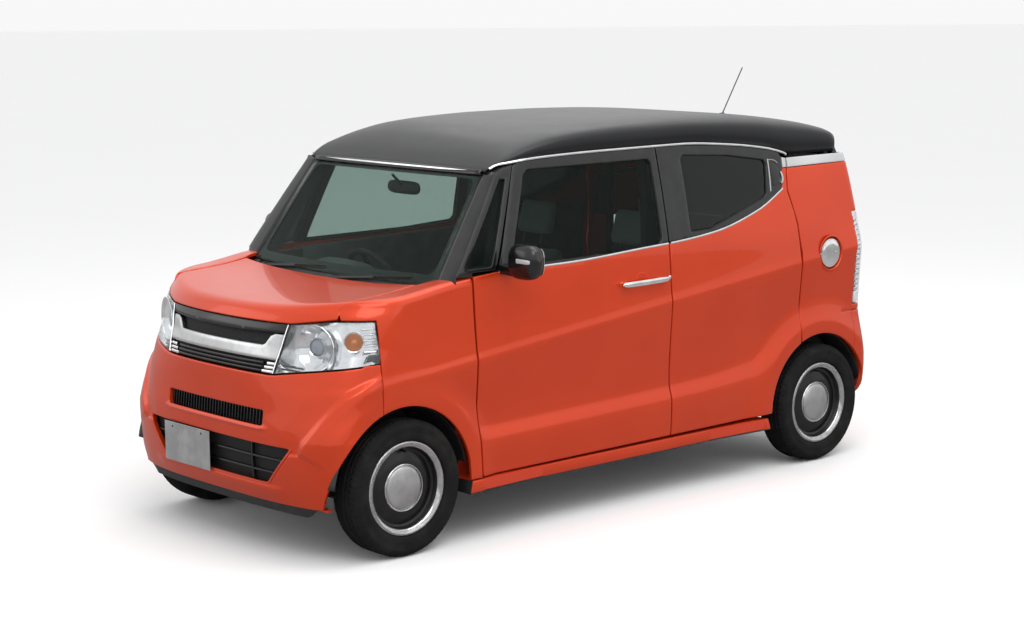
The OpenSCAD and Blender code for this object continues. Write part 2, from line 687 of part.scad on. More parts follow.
module pillars() {
    // Hinge pillar, rail above the front wheel, and the pillar beside the windscreen
    box([561, -923, floor_z + 3], [604, -800, 1086]);
    box([562, -1372, 884], [620, -904, 940]);
    member([600, -990, 1036], [634, -930, 1064], [566, -690, 1480], [600, -650, 1492]);
    member([568, -688, 1479], [598, -651, 1491], [548, -450, 1546], [585, -440, 1563]);
    // Middle pillar and the roof rail
    box([563, 201, floor_z + 4], [604, 344, 1095]);
    member([575, 212, 1084], [603, 343, 1094], [566, 213, 1300], [600, 343, 1304]);
    member([567, 214, 1299], [599, 342, 1303], [541, 214, 1480], [571, 342, 1484]);
    member([542, 215, 1479], [570, 341, 1483], [540, 215, 1600], [562, 341, 1628]);
    member([532, -449, 1547], [558, -430, 1562], [532, 800, 1540], [558, 820, 1556]);
    member([547, 801, 1541], [583, 819, 1555], [530, 1290, 1510], [566, 1310, 1526]);
    member([531, 1291, 1511], [565, 1309, 1525], [530, 1440, 1492], [566, 1464, 1504]);
    // Rear quarter's inner frame and the posts beside the tailgate
    member([564, 1141, 640], [610, 1165, 660], [564, 1141, 1430], [610, 1165, 1446]);
    member([540, 1150, 1420], [596, 1164, 1447], [535, 1270, 1500], [560, 1300, 1520]);
    box([565, 1142, 1300], [588, 1500, 1318]);
    member([555, 1476, 535], [598, 1499, 545], [555, 1476, 1300], [598, 1499, 1330]);
    member([554, 1474, 1299], [597, 1498, 1329], [534, 1441, 1490], [569, 1463, 1500]);
}
// Bow under the roof, between the middle pillars
module roof_bow() {
    angles = [-84, -72, -50, -25, -8, -1, 0, 1, 8, 25, 50, 72, 84];
    grid_slab([for (y = [330, 230]) [for (a = angles) roof_point(y, a, 14 + seat_gap)]],
        [for (y = [330, 230]) [for (a = angles) roof_point(y, a, 34)]]);
}
// Web between the rear frame and the quarter panel's skin
module quarter_web() {
    intersection() {
        side_slab(quarter_ys, quarter_zs, 145, skin + seat_gap);
        box([560, 1150, 722], [900, 1162, 1290]);
    }
}
// Fixed corner between the windscreen and the front door, around the quarter light
module screen_corner() {
    difference() {
        intersection() {
            side_slab([-1000, -930, -860, -760, -680, -600], [1090, 1120, 1200, 1325, 1400, 1475, 1530], 55);
            side_prism([[-984, 1098], [-899, 1098], [-895, 1112], [-769, 1112], [-602, 1524], [-655, 1512],
                [-704, 1490]], 500, 900);
        }
        side_prism(quarter_light, 500, 900);
    }
}
module front_wheelhouse() {
    difference() {
        intersection() {
            difference() {
                rod_x(398, 650, front_arch_y, arch_z, arch_radius + 20);
                rod_x(390, 720, front_arch_y, arch_z, arch_radius + 6);
            }
            box([380, -1572, arch_z + 40], [720, -915, 700]);
        }
        box([441, front_axle_y - 75, 500], [594, front_axle_y + 75, 800]);
    }
    box([399, -1561, floor_z + 6], [411, -908, 642]);
    box([362, -1559, 333], [402, -909, 398]);
    difference() {
        box([430, front_axle_y - 85, 590], [605, front_axle_y + 85, 780]);
        box([441, front_axle_y - 75, 570], [594, front_axle_y + 75, 769]);
    }
    member([431, front_axle_y - 20, 779], [604, front_axle_y + 20, 781],
        [563, front_axle_y - 20, 887], [604, front_axle_y + 20, 889]);
}
module rear_wheelhouse() {
    difference() {
        rod_x(546, 655, rear_arch_y, arch_z, arch_radius + 20);
        rod_x(556, 720, rear_arch_y, arch_z, arch_radius + 6);
        box([500, 800, -200], [720, 1700, arch_z + 52]);
        box([500, 1574, 0], [720, 1700, 900]);
    }
    box([547, 889, rear_floor_z - 5], [558, 1553, arch_z + 60]);
}

// Arms and pins that the doors, hood, tailgate and fuel lid turn on, each fixed to the body
module hinges() {
    color(steel_grey) {
        both_sides() {
            hinge_arms(front_hinge_y);
            hinge_arms(rear_hinge_y);
            hood_arm();
            tailgate_arm();
        }
        filler();
    }
}
module hood_arm() {
    box([572, hood_axis_y - 10, 1018.3], [590, hood_axis_y + 12, hood_axis_z + 8]);
    rod_x(545, 580, hood_axis_y, hood_axis_z, 5);
}
module tailgate_arm() {
    box([411, 1465.3, 1500], [425, tailgate_axis_y + 8, 1532]);
    rod_x(385, 418, tailgate_axis_y, tailgate_axis_z, 5);
}
module filler() {
    x = fuel_x - 46;
    box([x - 12, fuel_lid_y - 82, fuel_lid_z - 82], [x, fuel_lid_y + 82, fuel_lid_z + 82]);
    for (z = [fuel_lid_z - 13, fuel_lid_z + 6]) {
        box([x - 2, fuel_pin_y - 4, z], [fuel_pin_x, fuel_pin_y + 4, z + 7]);
        translate([fuel_pin_x, fuel_pin_y, z]) cylinder(r = 4, h = 7);
    }
    translate([fuel_pin_x, fuel_pin_y, fuel_lid_z - 12]) cylinder(r = 2, h = 24);
    intersection() {
        side_slab(quarter_ys, quarter_zs, skin + 50, skin + seat_gap);
        difference() {
            box([x - 1, fuel_lid_y - 82, fuel_lid_z - 82], [900, fuel_lid_y + 82, fuel_lid_z + 82]);
            rod_x(x - 9, 900, fuel_lid_y, fuel_lid_z, fuel_lid_radius + shut_gap);
        }
    }
}

// ---- Running gear ----

module tyre(left, y) {
    s = left ? 1 : -1;
    color("#202020") translate([s * wheel_x, y, tyre_radius]) rotate([0, 90, 0]) rotate_extrude($fn = 96)
        polygon([[rim_radius + seat_gap, -55.6], [rim_radius + 13, -55.6], [rim_radius + 14, -66],
            [rim_radius + 30, -tyre_width / 2 + 4],
            [tyre_radius - 42, -tyre_width / 2], [tyre_radius - 14, -tyre_width / 2 + 10],
            [tyre_radius, -tyre_width / 2 + 28], [tyre_radius, tyre_width / 2 - 28],
            [tyre_radius - 14, tyre_width / 2 - 10], [tyre_radius - 42, tyre_width / 2],
            [rim_radius + 30, tyre_width / 2 - 4], [rim_radius + 14, 66], [rim_radius + 13, 55.6],
            [rim_radius + seat_gap, 55.6]]);
}
module rim(left, y) {
    color("silver") translate([left ? wheel_x : -wheel_x, y, tyre_radius]) mirror([left ? 0 : 1, 0, 0])
        rotate([0, 90, 0]) difference() {
            union() {
                rotate_extrude($fn = 96) polygon([[rim_radius - 14, -60], [rim_radius + 10, -64],
                    [rim_radius + 10, -58], [rim_radius, -56], [rim_radius, 56], [rim_radius + 12, 60],
                    [rim_radius + 12, 65], [rim_radius - 14, 62], [rim_radius - 14, 34], [100, 42],
                    [100, 28], [rim_radius - 14, 20]]);
                translate([0, 0, 26]) cylinder(r = 104, h = 18);
            }
            translate([0, 0, 0]) cylinder(r = spindle_radius + pin_clearance, h = 36);
        }
}
module spindle(y) {
    rod_x(560, wheel_x + 35, y, tyre_radius, spindle_radius);
}
kingpin_x = 600;
module knuckle(left) {
    color(steel_grey) mirror([left ? 0 : 1, 0, 0]) difference() {
        union() {
            spindle(front_axle_y);
            rod_x(575, 600, front_axle_y, tyre_radius, 52);
            rod_x(632, 642, front_axle_y, tyre_radius, 118);
            rod_x(590, 634, front_axle_y, tyre_radius, 60);
            box([575, front_axle_y - 26, 188], [625, front_axle_y + 26, tyre_radius]);
            box([530, front_axle_y - 24, 360], [590, front_axle_y + 24, 400]);
            box([570, front_axle_y - 24, tyre_radius], [600, front_axle_y + 24, 400]);
            translate([530, front_axle_y, 330]) cylinder(r = 22, h = 420);
        }
        translate([kingpin_x, front_axle_y, 180]) cylinder(r = 10 + pin_clearance, h = 40);
    }
}
module front_subframe() {
    color(steel_grey) {
        box([-330, front_axle_y - 60, 175], [330, front_axle_y + 60, 215]);
        both_sides() {
            box([320, front_axle_y - 40, 180], [396, front_axle_y + 40, 214]);
            box([345, front_axle_y - 39, 200], [395, front_axle_y + 39, 333 - seat_gap]);
            box([300, front_axle_y - 22, 158], [kingpin_x + 15, front_axle_y + 22, 182]);
            translate([kingpin_x, front_axle_y, 160]) cylinder(r = 10, h = 52);
        }
    }
}
module rear_axle() {
    color(steel_grey) {
        rod_x(-520, 520, rear_axle_y - 180, 270, 45);
        both_sides() {
            box([490, rear_axle_y - 300, 250], [540, rear_axle_y + 40, 300]);
            spindle(rear_axle_y);
            box([520, rear_axle_y - 45, 235], [600, rear_axle_y + 45, 322]);
            translate([505, rear_axle_y - 80, 290]) cylinder(r = 30, h = rear_floor_z - sheet - seat_gap - 290);
        }
    }
}
module engine() {
    color(steel_grey) box([-300, -1480, 215 + seat_gap], [330, -1010, 820]);
}
module exhaust() {
    route = [[-322, -1080, 240], [-400, -960, 180], [-470, -860, 180], [-470, 1000, 180], [-440, 1340, 215]];
    color(steel_grey) {
        for (i = [0 : len(route) - 2]) hull() {
            translate(route[i]) sphere(r = 22, $fn = 12);
            translate(route[i + 1]) sphere(r = 22, $fn = 12);
        }
        box([-495, 1330, 165], [105, 1530, 290]);
        box([-440, 1420, 285], [-410, 1440, rear_floor_z - sheet - seat_gap]);
        box([40, 1420, 285], [70, 1440, rear_floor_z - sheet - seat_gap]);
        translate([-430, 1520, 204]) rotate([-90, 0, 0]) cylinder(r = 20, h = 140);
    }
}
module fuel_tank() {
    color(trim_black) box([-420, -250, 150], [420, 420, floor_z - seat_gap]);
}

// ---- Interior ----

seat_x = 320;
module front_seats() {
    base = floor_z + sheet + seat_gap;
    color(seat_grey) both_sides() {
        box([seat_x - 180, -250, base], [seat_x + 180, 150, 360]);
        box([seat_x - seat_width / 2, -310, 350], [seat_x + seat_width / 2, 150, 560]);
        translate([seat_x, 215, 470]) rotate([-16, 0, 0]) {
            box([-seat_width / 2 + 10, -55, 0], [seat_width / 2 - 10, 55, 600]);
            box([-120, -40, 590], [120, 40, 800]);
        }
        box([seat_x - 150, 100, 380], [seat_x + 150, 220, 500]);
    }
}
module rear_bench() {
    base = floor_z + sheet + seat_gap;
    color(seat_grey) {
        box([-540, 560, base], [540, 860, 360]);
        box([-539, 480, rear_floor_z + seat_gap], [539, 930, 560]);
        translate([0, 1010, 470]) rotate([-14, 0, 0]) {
            box([-536, -55, 0], [536, 55, 590]);
            for (x = [-290, 290]) box([x - 115, -40, 580], [x + 115, 40, 760]);
        }
        box([-500, 880, 400], [500, 1010, 520]);
    }
}
wheel_tilt = 28;
steering_x = -330;
// Places what follows on the steering axis, with +Z towards the driver
module on_column() {
    translate([steering_x, -560, 930]) rotate([wheel_tilt - 90, 0, 0]) children();
}
module dashboard() {
    color(trim_black) {
        difference() {
            box([-555, -906 + seat_gap, 640], [555, -660, 1010]);
            on_column() translate([0, 0, -160]) cylinder(r = 30, h = 100);
        }
        on_column() translate([0, 0, -200]) cylinder(r = 30.1, h = 150);
        on_column() translate([0, 0, -60]) cylinder(r = 12, h = 60);
    }
}
module steering_wheel() {
    color(trim_black) on_column() difference() {
        union() {
            rotate_extrude() translate([steering_wheel_diameter / 2 - 14, 0]) circle(r = 14);
            translate([0, 0, -30]) cylinder(r = 58, h = 45);
            box([-steering_wheel_diameter / 2 + 14, -15, -8], [steering_wheel_diameter / 2 - 14, 15, 8]);
            box([-14, -steering_wheel_diameter / 2 + 14, -8], [14, 0, 8]);
        }
        translate([0, 0, -40]) cylinder(r = 12 + pin_clearance, h = 42);
    }
}

body_shell();
hinges();
roof_panel();
hood();
front_fenders();
quarter_panels();
front_bumper();
rear_bumper();
cowl_and_wipers();
fixed_glass();
front_door(false);  // left_front_door
front_door(true);  // right_front_door
rear_door(false);  // left_rear_door
rear_door(true);  // right_rear_door
door_glass(false, front_window, [-800, -550, -150, 260], [1090, 1200, 1325, 1520]);  // left_front_glass
door_glass(true, front_window, [-800, -550, -150, 260], [1090, 1200, 1325, 1520]);  // right_front_glass
door_glass(false, rear_window, [380, 650, 980], [1130, 1240, 1325, 1520]);  // left_rear_glass
door_glass(true, rear_window, [380, 650, 980], [1130, 1240, 1325, 1520]);  // right_rear_glass
mirror_housing(false);  // left_mirror
mirror_housing(true);  // right_mirror
tailgate();
tailgate_glass();
headlamps();
tail_lamps();
grilles();
front_plate();
rear_plate();
fuel_lid();
antenna();
tyre(true, front_axle_y);  // left_front_tyre
tyre(false, front_axle_y);  // right_front_tyre
tyre(true, rear_axle_y);  // left_rear_tyre
tyre(false, rear_axle_y);  // right_rear_tyre
rim(true, front_axle_y);  // left_front_rim
rim(false, front_axle_y);  // right_front_rim
rim(true, rear_axle_y);  // left_rear_rim
rim(false, rear_axle_y);  // right_rear_rim
knuckle(true);  // left_knuckle
knuckle(false);  // right_knuckle
front_subframe();
rear_axle();
engine();
exhaust();
fuel_tank();
front_seats();
rear_bench();
dashboard();
steering_wheel();
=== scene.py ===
"""Looks of a retro kei car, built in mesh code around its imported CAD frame.

Lengths inside the form and outline code are millimetres, as in the part's source. Meshes, lights and the camera
are metres. The front faces -Y, the car's left is +X and +Z is up.
"""

import logging
import math
from dataclasses import dataclass
from enum import Enum
from typing import Any, Callable, Iterable, Sequence

import bmesh
import bpy
import numpy as np
from mathutils import Matrix, Vector
from mathutils.geometry import delaunay_2d_cdt


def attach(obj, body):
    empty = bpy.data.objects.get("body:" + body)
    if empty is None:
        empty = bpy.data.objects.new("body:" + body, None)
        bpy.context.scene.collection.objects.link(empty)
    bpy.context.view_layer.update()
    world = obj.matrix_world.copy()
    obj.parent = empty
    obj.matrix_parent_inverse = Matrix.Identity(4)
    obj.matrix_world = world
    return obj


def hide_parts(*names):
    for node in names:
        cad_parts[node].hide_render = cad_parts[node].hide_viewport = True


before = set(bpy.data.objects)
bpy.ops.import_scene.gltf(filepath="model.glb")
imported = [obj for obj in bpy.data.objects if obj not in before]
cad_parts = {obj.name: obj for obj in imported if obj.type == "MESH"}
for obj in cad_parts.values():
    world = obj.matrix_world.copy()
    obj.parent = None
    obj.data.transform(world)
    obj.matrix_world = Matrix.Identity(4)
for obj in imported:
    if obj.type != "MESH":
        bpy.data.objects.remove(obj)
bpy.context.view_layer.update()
MM = 0.001
LOG = logging.getLogger("kei_car")

Point = Sequence[float]
Place = Callable[[np.ndarray, np.ndarray], np.ndarray]


# ---------------------------------------------------------------- curves and form


def smooth_curve(at: np.ndarray, knots: Any, values: Any) -> np.ndarray:
    """Monotone cubic curve through knots, which may differ from element to element.

    Args:
        at: Where the curve is wanted.
        knots: Knot places, K of them or a K by N array.
        values: Value at each knot, in the same layout.

    Returns:
        The curve's value at each place, held constant beyond the end knots.
    """
    at = np.atleast_1d(np.asarray(at, float))
    count = at.shape[0]
    k = np.array([np.broadcast_to(row, (count,)) for row in knots], float)
    v = np.array([np.broadcast_to(row, (count,)) for row in values], float)
    gap = np.diff(k, axis=0)
    rate = np.diff(v, axis=0) / gap
    slope = np.zeros_like(k)
    slope[0], slope[-1] = rate[0], rate[-1]
    same = rate[:-1] * rate[1:] > 0
    total = np.where(same, rate[:-1] + rate[1:], 1.0)
    slope[1:-1] = np.where(same, 2 * rate[:-1] * rate[1:] / total, 0)
    at = np.clip(at, k[0], k[-1])
    cell = np.clip((at[None, :] >= k[1:-1]).sum(axis=0), 0, len(k) - 2) if len(k) > 2 else np.zeros(count, int)
    pick = np.arange(count)
    width = gap[cell, pick]
    t = (at - k[cell, pick]) / width
    low, high = v[cell, pick], v[cell + 1, pick]
    s0, s1 = slope[cell, pick] * width, slope[cell + 1, pick] * width
    return ((2 * t**3 - 3 * t**2 + 1) * low + (t**3 - 2 * t**2 + t) * s0
            + (3 * t**2 - 2 * t**3) * high + (t**3 - t**2) * s1)


def table_curve(at: Any, table: Sequence[Point]) -> np.ndarray:
    """Monotone cubic curve through a table of (place, value) rows."""
    return smooth_curve(at, [row[0] for row in table], [row[1] for row in table])


def steps(start: float, end: float, count: int) -> np.ndarray:
    """Evenly spread numbers from start to end, count gaps apart."""
    return np.linspace(start, end, count + 1)


@dataclass(frozen=True)
class BodyForm:
    """Outer form of the body: side, nose, tail, roof, hood and windscreen surfaces."""

    length: float = 3395
    width: float = 1475
    height: float = 1670
    sill: float = 205
    front_axle: float = -1250
    rear_axle: float = 1270
    arch: float = 339
    arch_z: float = 275
    skin: float = 22

    @property
    def half(self) -> float:
        """Half of the body's width."""
        return self.width / 2

    @property
    def nose_y(self) -> float:
        """Foremost point of the bumper."""
        return 8.5 - self.length / 2

    @property
    def tail_y(self) -> float:
        """Rearmost point of the bumper."""
        return self.length / 2

    def crease_z(self, y: np.ndarray) -> np.ndarray:
        """Height of the shoulder line along the doors."""
        return 843.5 + 0.105 * y

    def inset(self, y: np.ndarray, z: np.ndarray) -> np.ndarray:
        """Distance of the side surface inside the half width, before the flares."""
        low = table_curve(y, [(-1000, 400), (426, 427), (1100, 450)])
        top = table_curve(y, [(-1000, 476), (426, 516), (858, 568), (1100, 600)])
        crease = self.crease_z(y)
        knots = [self.sill + 0 * y, 270 + 0 * y, low - 10, low + 4, top - 8, top + 8, crease - 22, crease,
                 crease + 9, crease + 32, 1100 + 0 * y, 1325 + 0 * y, 1549 + 0 * y, 1640 + 0 * y]
        values = [20, 17, 9.6, 9.6, 25.6, 26.2, 2.9, 1, 1.9, 6, 20, 60, 112, 130]
        return smooth_curve(z, knots, values)

    def flare(self, y: np.ndarray, z: np.ndarray) -> np.ndarray:
        """Share of a wheel arch flare at a point: 0 beyond its edge, 1 near the opening."""
        share = np.zeros_like(y)
        for arch_y, edge in ((self.front_axle - 15, 493), (self.rear_axle - 15, 521)):
            t = np.clip((edge - np.hypot(y - arch_y, z - self.arch_z)) / (edge - self.arch - 60), 0, 1)
            share = np.maximum(share, t**1.25 * (1 - (1 - t) ** 5 * 0.3))
        return share

    def nose(self, z: np.ndarray) -> np.ndarray:
        """Front end seen from the side."""
        return self.nose_y + table_curve(z, [(200, 34), (250, 20), (320, 6), (420, 0), (520, 2), (600, 9),
                                             (740, 19), (830, 32), (940, 55), (985, 74), (1010, 96), (1100, 160)])

    def front_corner(self, z: np.ndarray) -> tuple[np.ndarray, np.ndarray]:
        """Length and roundness of the front corner in plan."""
        return (table_curve(z, [(500, 225), (700, 300), (850, 350)]),
                table_curve(z, [(500, 3), (700, 2.5), (850, 2.2)]))

    def tail(self, z: np.ndarray) -> np.ndarray:
        """Rear end seen from the side."""
        return self.tail_y - table_curve(z, [(200, 96), (260, 46), (340, 12), (440, 0), (600, 8), (720, 26),
                                             (1000, 45), (1100, 55), (1300, 91), (1450, 123), (1540, 158),
                                             (1640, 198)])

    def tail_length(self, z: np.ndarray) -> np.ndarray:
        """Length of the rear corner in plan."""
        return table_curve(z, [(700, 150), (1100, 120), (1500, 80)])

    def side(self, y: Any, z: Any) -> np.ndarray:
        """Half width of the body at a place along it and a height."""
        y, z = np.broadcast_arrays(np.atleast_1d(np.asarray(y, float)), np.atleast_1d(np.asarray(z, float)))
        shape = y.shape
        y, z = y.ravel(), z.ravel()
        wide = self.half - self.inset(y, z) * (1 - self.flare(y, z))
        run, power = self.front_corner(z)
        front = np.clip((self.nose(z) + run - y) / run, 0, 1)
        rear = np.clip((y - self.tail(z) + self.tail_length(z)) / self.tail_length(z), 0, 1)
        wide = wide * (1 - front**power) ** (1 / power) * (1 - rear**2.6) ** (1 / 2.6)
        return wide.reshape(shape)

    def strip(self, y: Any) -> np.ndarray:
        """Height of the roof's lower edge along the side."""
        return table_curve(y, [(-715, 1500), (-660, 1526), (-400, 1544), (-90, 1549), (400, 1550), (725, 1530),
                               (985, 1497), (1150, 1460), (1500, 1454)])

    def crown(self, y: Any) -> np.ndarray:
        """Height of the roof's middle line."""
        return self.height - table_curve(y, [(-715, 163), (-600, 105), (-450, 52), (-300, 22), (-100, 8), (150, 1),
                                             (400, 1), (700, 7), (1000, 23), (1300, 58), (1450, 87), (1540, 118)])

    def roof(self, y: np.ndarray, angle: np.ndarray) -> np.ndarray:
        """Point of the roof at a place along it and an angle across, 0 on the crown."""
        base = np.minimum(self.strip(y) + 5, self.crown(y) - 6)
        rise = self.crown(y) - base
        wide = np.minimum(self.side(y, 1549 + 0 * y), table_curve(y, [(-715, 592), (-640, 616), (-560, 640)]))
        s, c = np.sin(np.radians(np.abs(angle))), np.cos(np.radians(angle))
        lift = 12 * s**2 * np.clip(rise / 100, 0, 1) * c
        return np.stack([np.sign(angle) * wide * s ** (1 / 3), y, base + rise * c ** (1 / 3) - lift], axis=-1)

    def hood_mid(self, y: Any) -> np.ndarray:
        """Height of the hood's middle line."""
        return table_curve(y, [(self.nose_y + 60, 985), (self.nose_y + 82, 1000), (-1500, 1014), (-1300, 1031),
                               (-1100, 1047), (-900, 1058)])

    def crest(self, y: Any) -> np.ndarray:
        """Height of a fender's crest."""
        return table_curve(y, [(self.nose_y + 76, 1004), (-1493, 1031), (-1382, 1041), (-1228, 1053),
                               (-1154, 1063), (-1009, 1085), (-880, 1096)])

    def hood(self, x: np.ndarray, y: np.ndarray) -> np.ndarray:
        """Height of the surface between the middle line and the crests."""
        mid = self.hood_mid(y)
        return mid + (self.crest(y) - mid) * np.minimum(1.0, np.abs(x) / 620) ** 2.4

    def screen(self, x: np.ndarray, z: np.ndarray) -> np.ndarray:
        """Place along the car of the windscreen's outer face."""
        t = (z - 1060) / 445
        return -1078 + 367 * t + (52 - 41 * t) * (x / 600) ** 2

    def front_y(self, x: Any, z: Any) -> np.ndarray:
        """Place along the car of the nose at a distance from the middle and a height."""
        z = np.atleast_1d(np.asarray(z, float))
        x = np.broadcast_to(np.asarray(x, float), z.shape)
        run, power = self.front_corner(z)
        share = np.clip(np.abs(x) / (self.half - self.inset(-1400 + 0 * z, z)), 0, 0.999)
        return self.nose(z) + run * (1 - (1 - share**power) ** (1 / power))

    def rear_y(self, x: Any, z: Any) -> np.ndarray:
        """Place along the car of the tail at a distance from the middle and a height."""
        z = np.atleast_1d(np.asarray(z, float))
        x = np.broadcast_to(np.asarray(x, float), z.shape)
        share = np.clip(np.abs(x) / (self.half - self.inset(1500 + 0 * z, z)), 0, 0.999)
        return self.tail(z) - self.tail_length(z) * (1 - (1 - share**2.6) ** (1 / 2.6))


FORM = BodyForm()


class End(Enum):
    """Which end of the car a wrapped surface starts from."""

    NOSE = "nose"
    TAIL = "tail"


class WrapSurface:
    """Surface that runs from the middle of an end round the corner and on along the side.

    Its first coordinate is the distance along the surface from the middle line at each height, so that
    outlines stay true to size.
    """

    Z_STEP = 5.0
    U_STEP = 5.0

    def __init__(self, end: End) -> None:
        """Sets out the table of points for one end."""
        self.end = end
        self.zs = np.arange(190, 1600, self.Z_STEP)
        rows_x, rows_y = [], []
        self.us = np.arange(0, 1500, self.U_STEP)
        for z in self.zs:
            zz = np.array([z])
            if end is End.NOSE:
                run, power = (float(v[0]) for v in FORM.front_corner(zz))
                tip = float(FORM.nose(zz)[0])
                angle = np.radians(90) * steps(0, 1, 240) ** 1.5
                y = tip + run - run * np.cos(angle) ** (2 / power)
                y = np.concatenate([y, np.arange(y[-1] + 6, -700, 6)])
            else:
                run, power = float(FORM.tail_length(zz)[0]), 2.6
                tip = float(FORM.tail(zz)[0])
                angle = np.radians(90) * steps(0, 1, 240) ** 1.5
                y = tip - run + run * np.cos(angle) ** (2 / power)
                y = np.concatenate([y, np.arange(y[-1] - 6, 500, -6)])
            x = FORM.side(y, z + 0 * y)
            x[0] = 0
            run_u = np.concatenate([[0], np.cumsum(np.hypot(np.diff(x), np.diff(y)))])
            rows_x.append(np.interp(self.us, run_u, x))
            rows_y.append(np.interp(self.us, run_u, y))
        self.x = np.array(rows_x)
        self.y = np.array(rows_y)

    def __call__(self, u: np.ndarray, z: np.ndarray) -> np.ndarray:
        """Points of the surface. A negative distance lies on the car's right."""
        a = np.clip(np.abs(u) / self.U_STEP, 0, len(self.us) - 1.001)
        b = np.clip((z - self.zs[0]) / self.Z_STEP, 0, len(self.zs) - 1.001)
        i, j = a.astype(int), b.astype(int)
        s, t = a - i, b - j

        def blend(grid: np.ndarray) -> np.ndarray:
            """Value between four table entries."""
            return ((grid[j, i] * (1 - s) + grid[j, i + 1] * s) * (1 - t)
                    + (grid[j + 1, i] * (1 - s) + grid[j + 1, i + 1] * s) * t)

        return np.stack([np.sign(u) * blend(self.x), blend(self.y), z], axis=-1)

    def row(self, z: float) -> tuple[np.ndarray, np.ndarray]:
        """Table rows of x and y at the height nearest to z."""
        j = int(np.clip(round((z - self.zs[0]) / self.Z_STEP), 0, len(self.zs) - 1))
        return self.x[j], self.y[j]

    def at_x(self, x: float, z: float) -> tuple[float, float]:
        """Surface coordinates of the point at a distance from the middle line."""
        xs, _ = self.row(z)
        top = int(np.argmax(xs > abs(x))) if (xs > abs(x)).any() else len(xs) - 1
        u = np.interp(abs(x), xs[: top + 1], self.us[: top + 1])
        return math.copysign(float(u), x), z

    def at_y(self, y: float, z: float) -> tuple[float, float]:
        """Surface coordinates of the point on the left side at a place along the car."""
        _, ys = self.row(z)
        return float(np.interp(y, ys, self.us) if self.end is End.NOSE
                     else np.interp(-y, -ys, self.us)), z


# ---------------------------------------------------------------- meshes


def ccw(loop: np.ndarray) -> np.ndarray:
    """The closed loop of points, turned so that it runs anticlockwise."""
    x, y = loop[:, 0], loop[:, 1]
    area = np.sum(x * np.roll(y, -1) - np.roll(x, -1) * y)
    return loop if area > 0 else loop[::-1]


def rounded(points: Sequence[Point], radius: float | Sequence[float] = 0, count: int = 5) -> np.ndarray:
    """Closed outline with its corners rounded.

    Args:
        points: Corners of the outline.
        radius: Radius of every corner, or one for each.
        count: Number of points of each rounded corner.

    Returns:
        The outline's points.
    """
    p = np.array([q[:2] for q in points], float)
    radii = [radius] * len(p) if np.isscalar(radius) else list(radius)
    out: list[np.ndarray] = []
    for i, corner in enumerate(p):
        before, after = p[i - 1], p[(i + 1) % len(p)]
        a, b = before - corner, after - corner
        la, lb = np.linalg.norm(a), np.linalg.norm(b)
        angle = math.acos(float(np.clip(np.dot(a, b) / (la * lb), -1, 1)))
        reach = min(radii[i] / max(math.tan(angle / 2), 1e-3), 0.45 * la, 0.45 * lb) if radii[i] else 0
        if reach < 0.5 or angle > 3.1:
            out.append(corner)
            continue
        start, end = corner + a / la * reach, corner + b / lb * reach
        for t in steps(0, 1, count - 1):
            out.append((1 - t) ** 2 * start + 2 * t * (1 - t) * corner + t**2 * end)
    return np.array(out)


def dense(loop: np.ndarray, step: float) -> np.ndarray:
    """The closed loop with points added so that no side is longer than step."""
    out: list[np.ndarray] = []
    for i, a in enumerate(loop):
        b = loop[(i + 1) % len(loop)]
        parts = max(1, math.ceil(np.linalg.norm(b - a) / step))
        out.extend(a + (b - a) * t / parts for t in range(parts))
    return np.array(out)


def inset(loop: np.ndarray, distance: float) -> np.ndarray:
    """The anticlockwise loop moved inwards, or outwards for a negative distance."""
    ahead = np.roll(loop, -1, axis=0) - loop
    ahead /= np.maximum(np.linalg.norm(ahead, axis=1, keepdims=True), 1e-9)
    behind = np.roll(ahead, 1, axis=0)
    normal = np.stack([-(ahead[:, 1] + behind[:, 1]), ahead[:, 0] + behind[:, 0]], axis=1)
    size = np.maximum(np.linalg.norm(normal, axis=1, keepdims=True), 0.7)
    return loop + normal / size * distance * np.clip(2 / size, 1, 1.5)


def inside(points: np.ndarray, loops: Iterable[np.ndarray]) -> np.ndarray:
    """Which points lie inside an odd number of the closed loops."""
    hit = np.zeros(len(points), bool)
    for loop in loops:
        for a, b in zip(loop, np.roll(loop, -1, axis=0)):
            crosses = (a[1] > points[:, 1]) != (b[1] > points[:, 1])
            if crosses.any():
                at = a[0] + (points[:, 1] - a[1]) / (b[1] - a[1] + 1e-12) * (b[0] - a[0])
                hit ^= crosses & (points[:, 0] < at)
    return hit


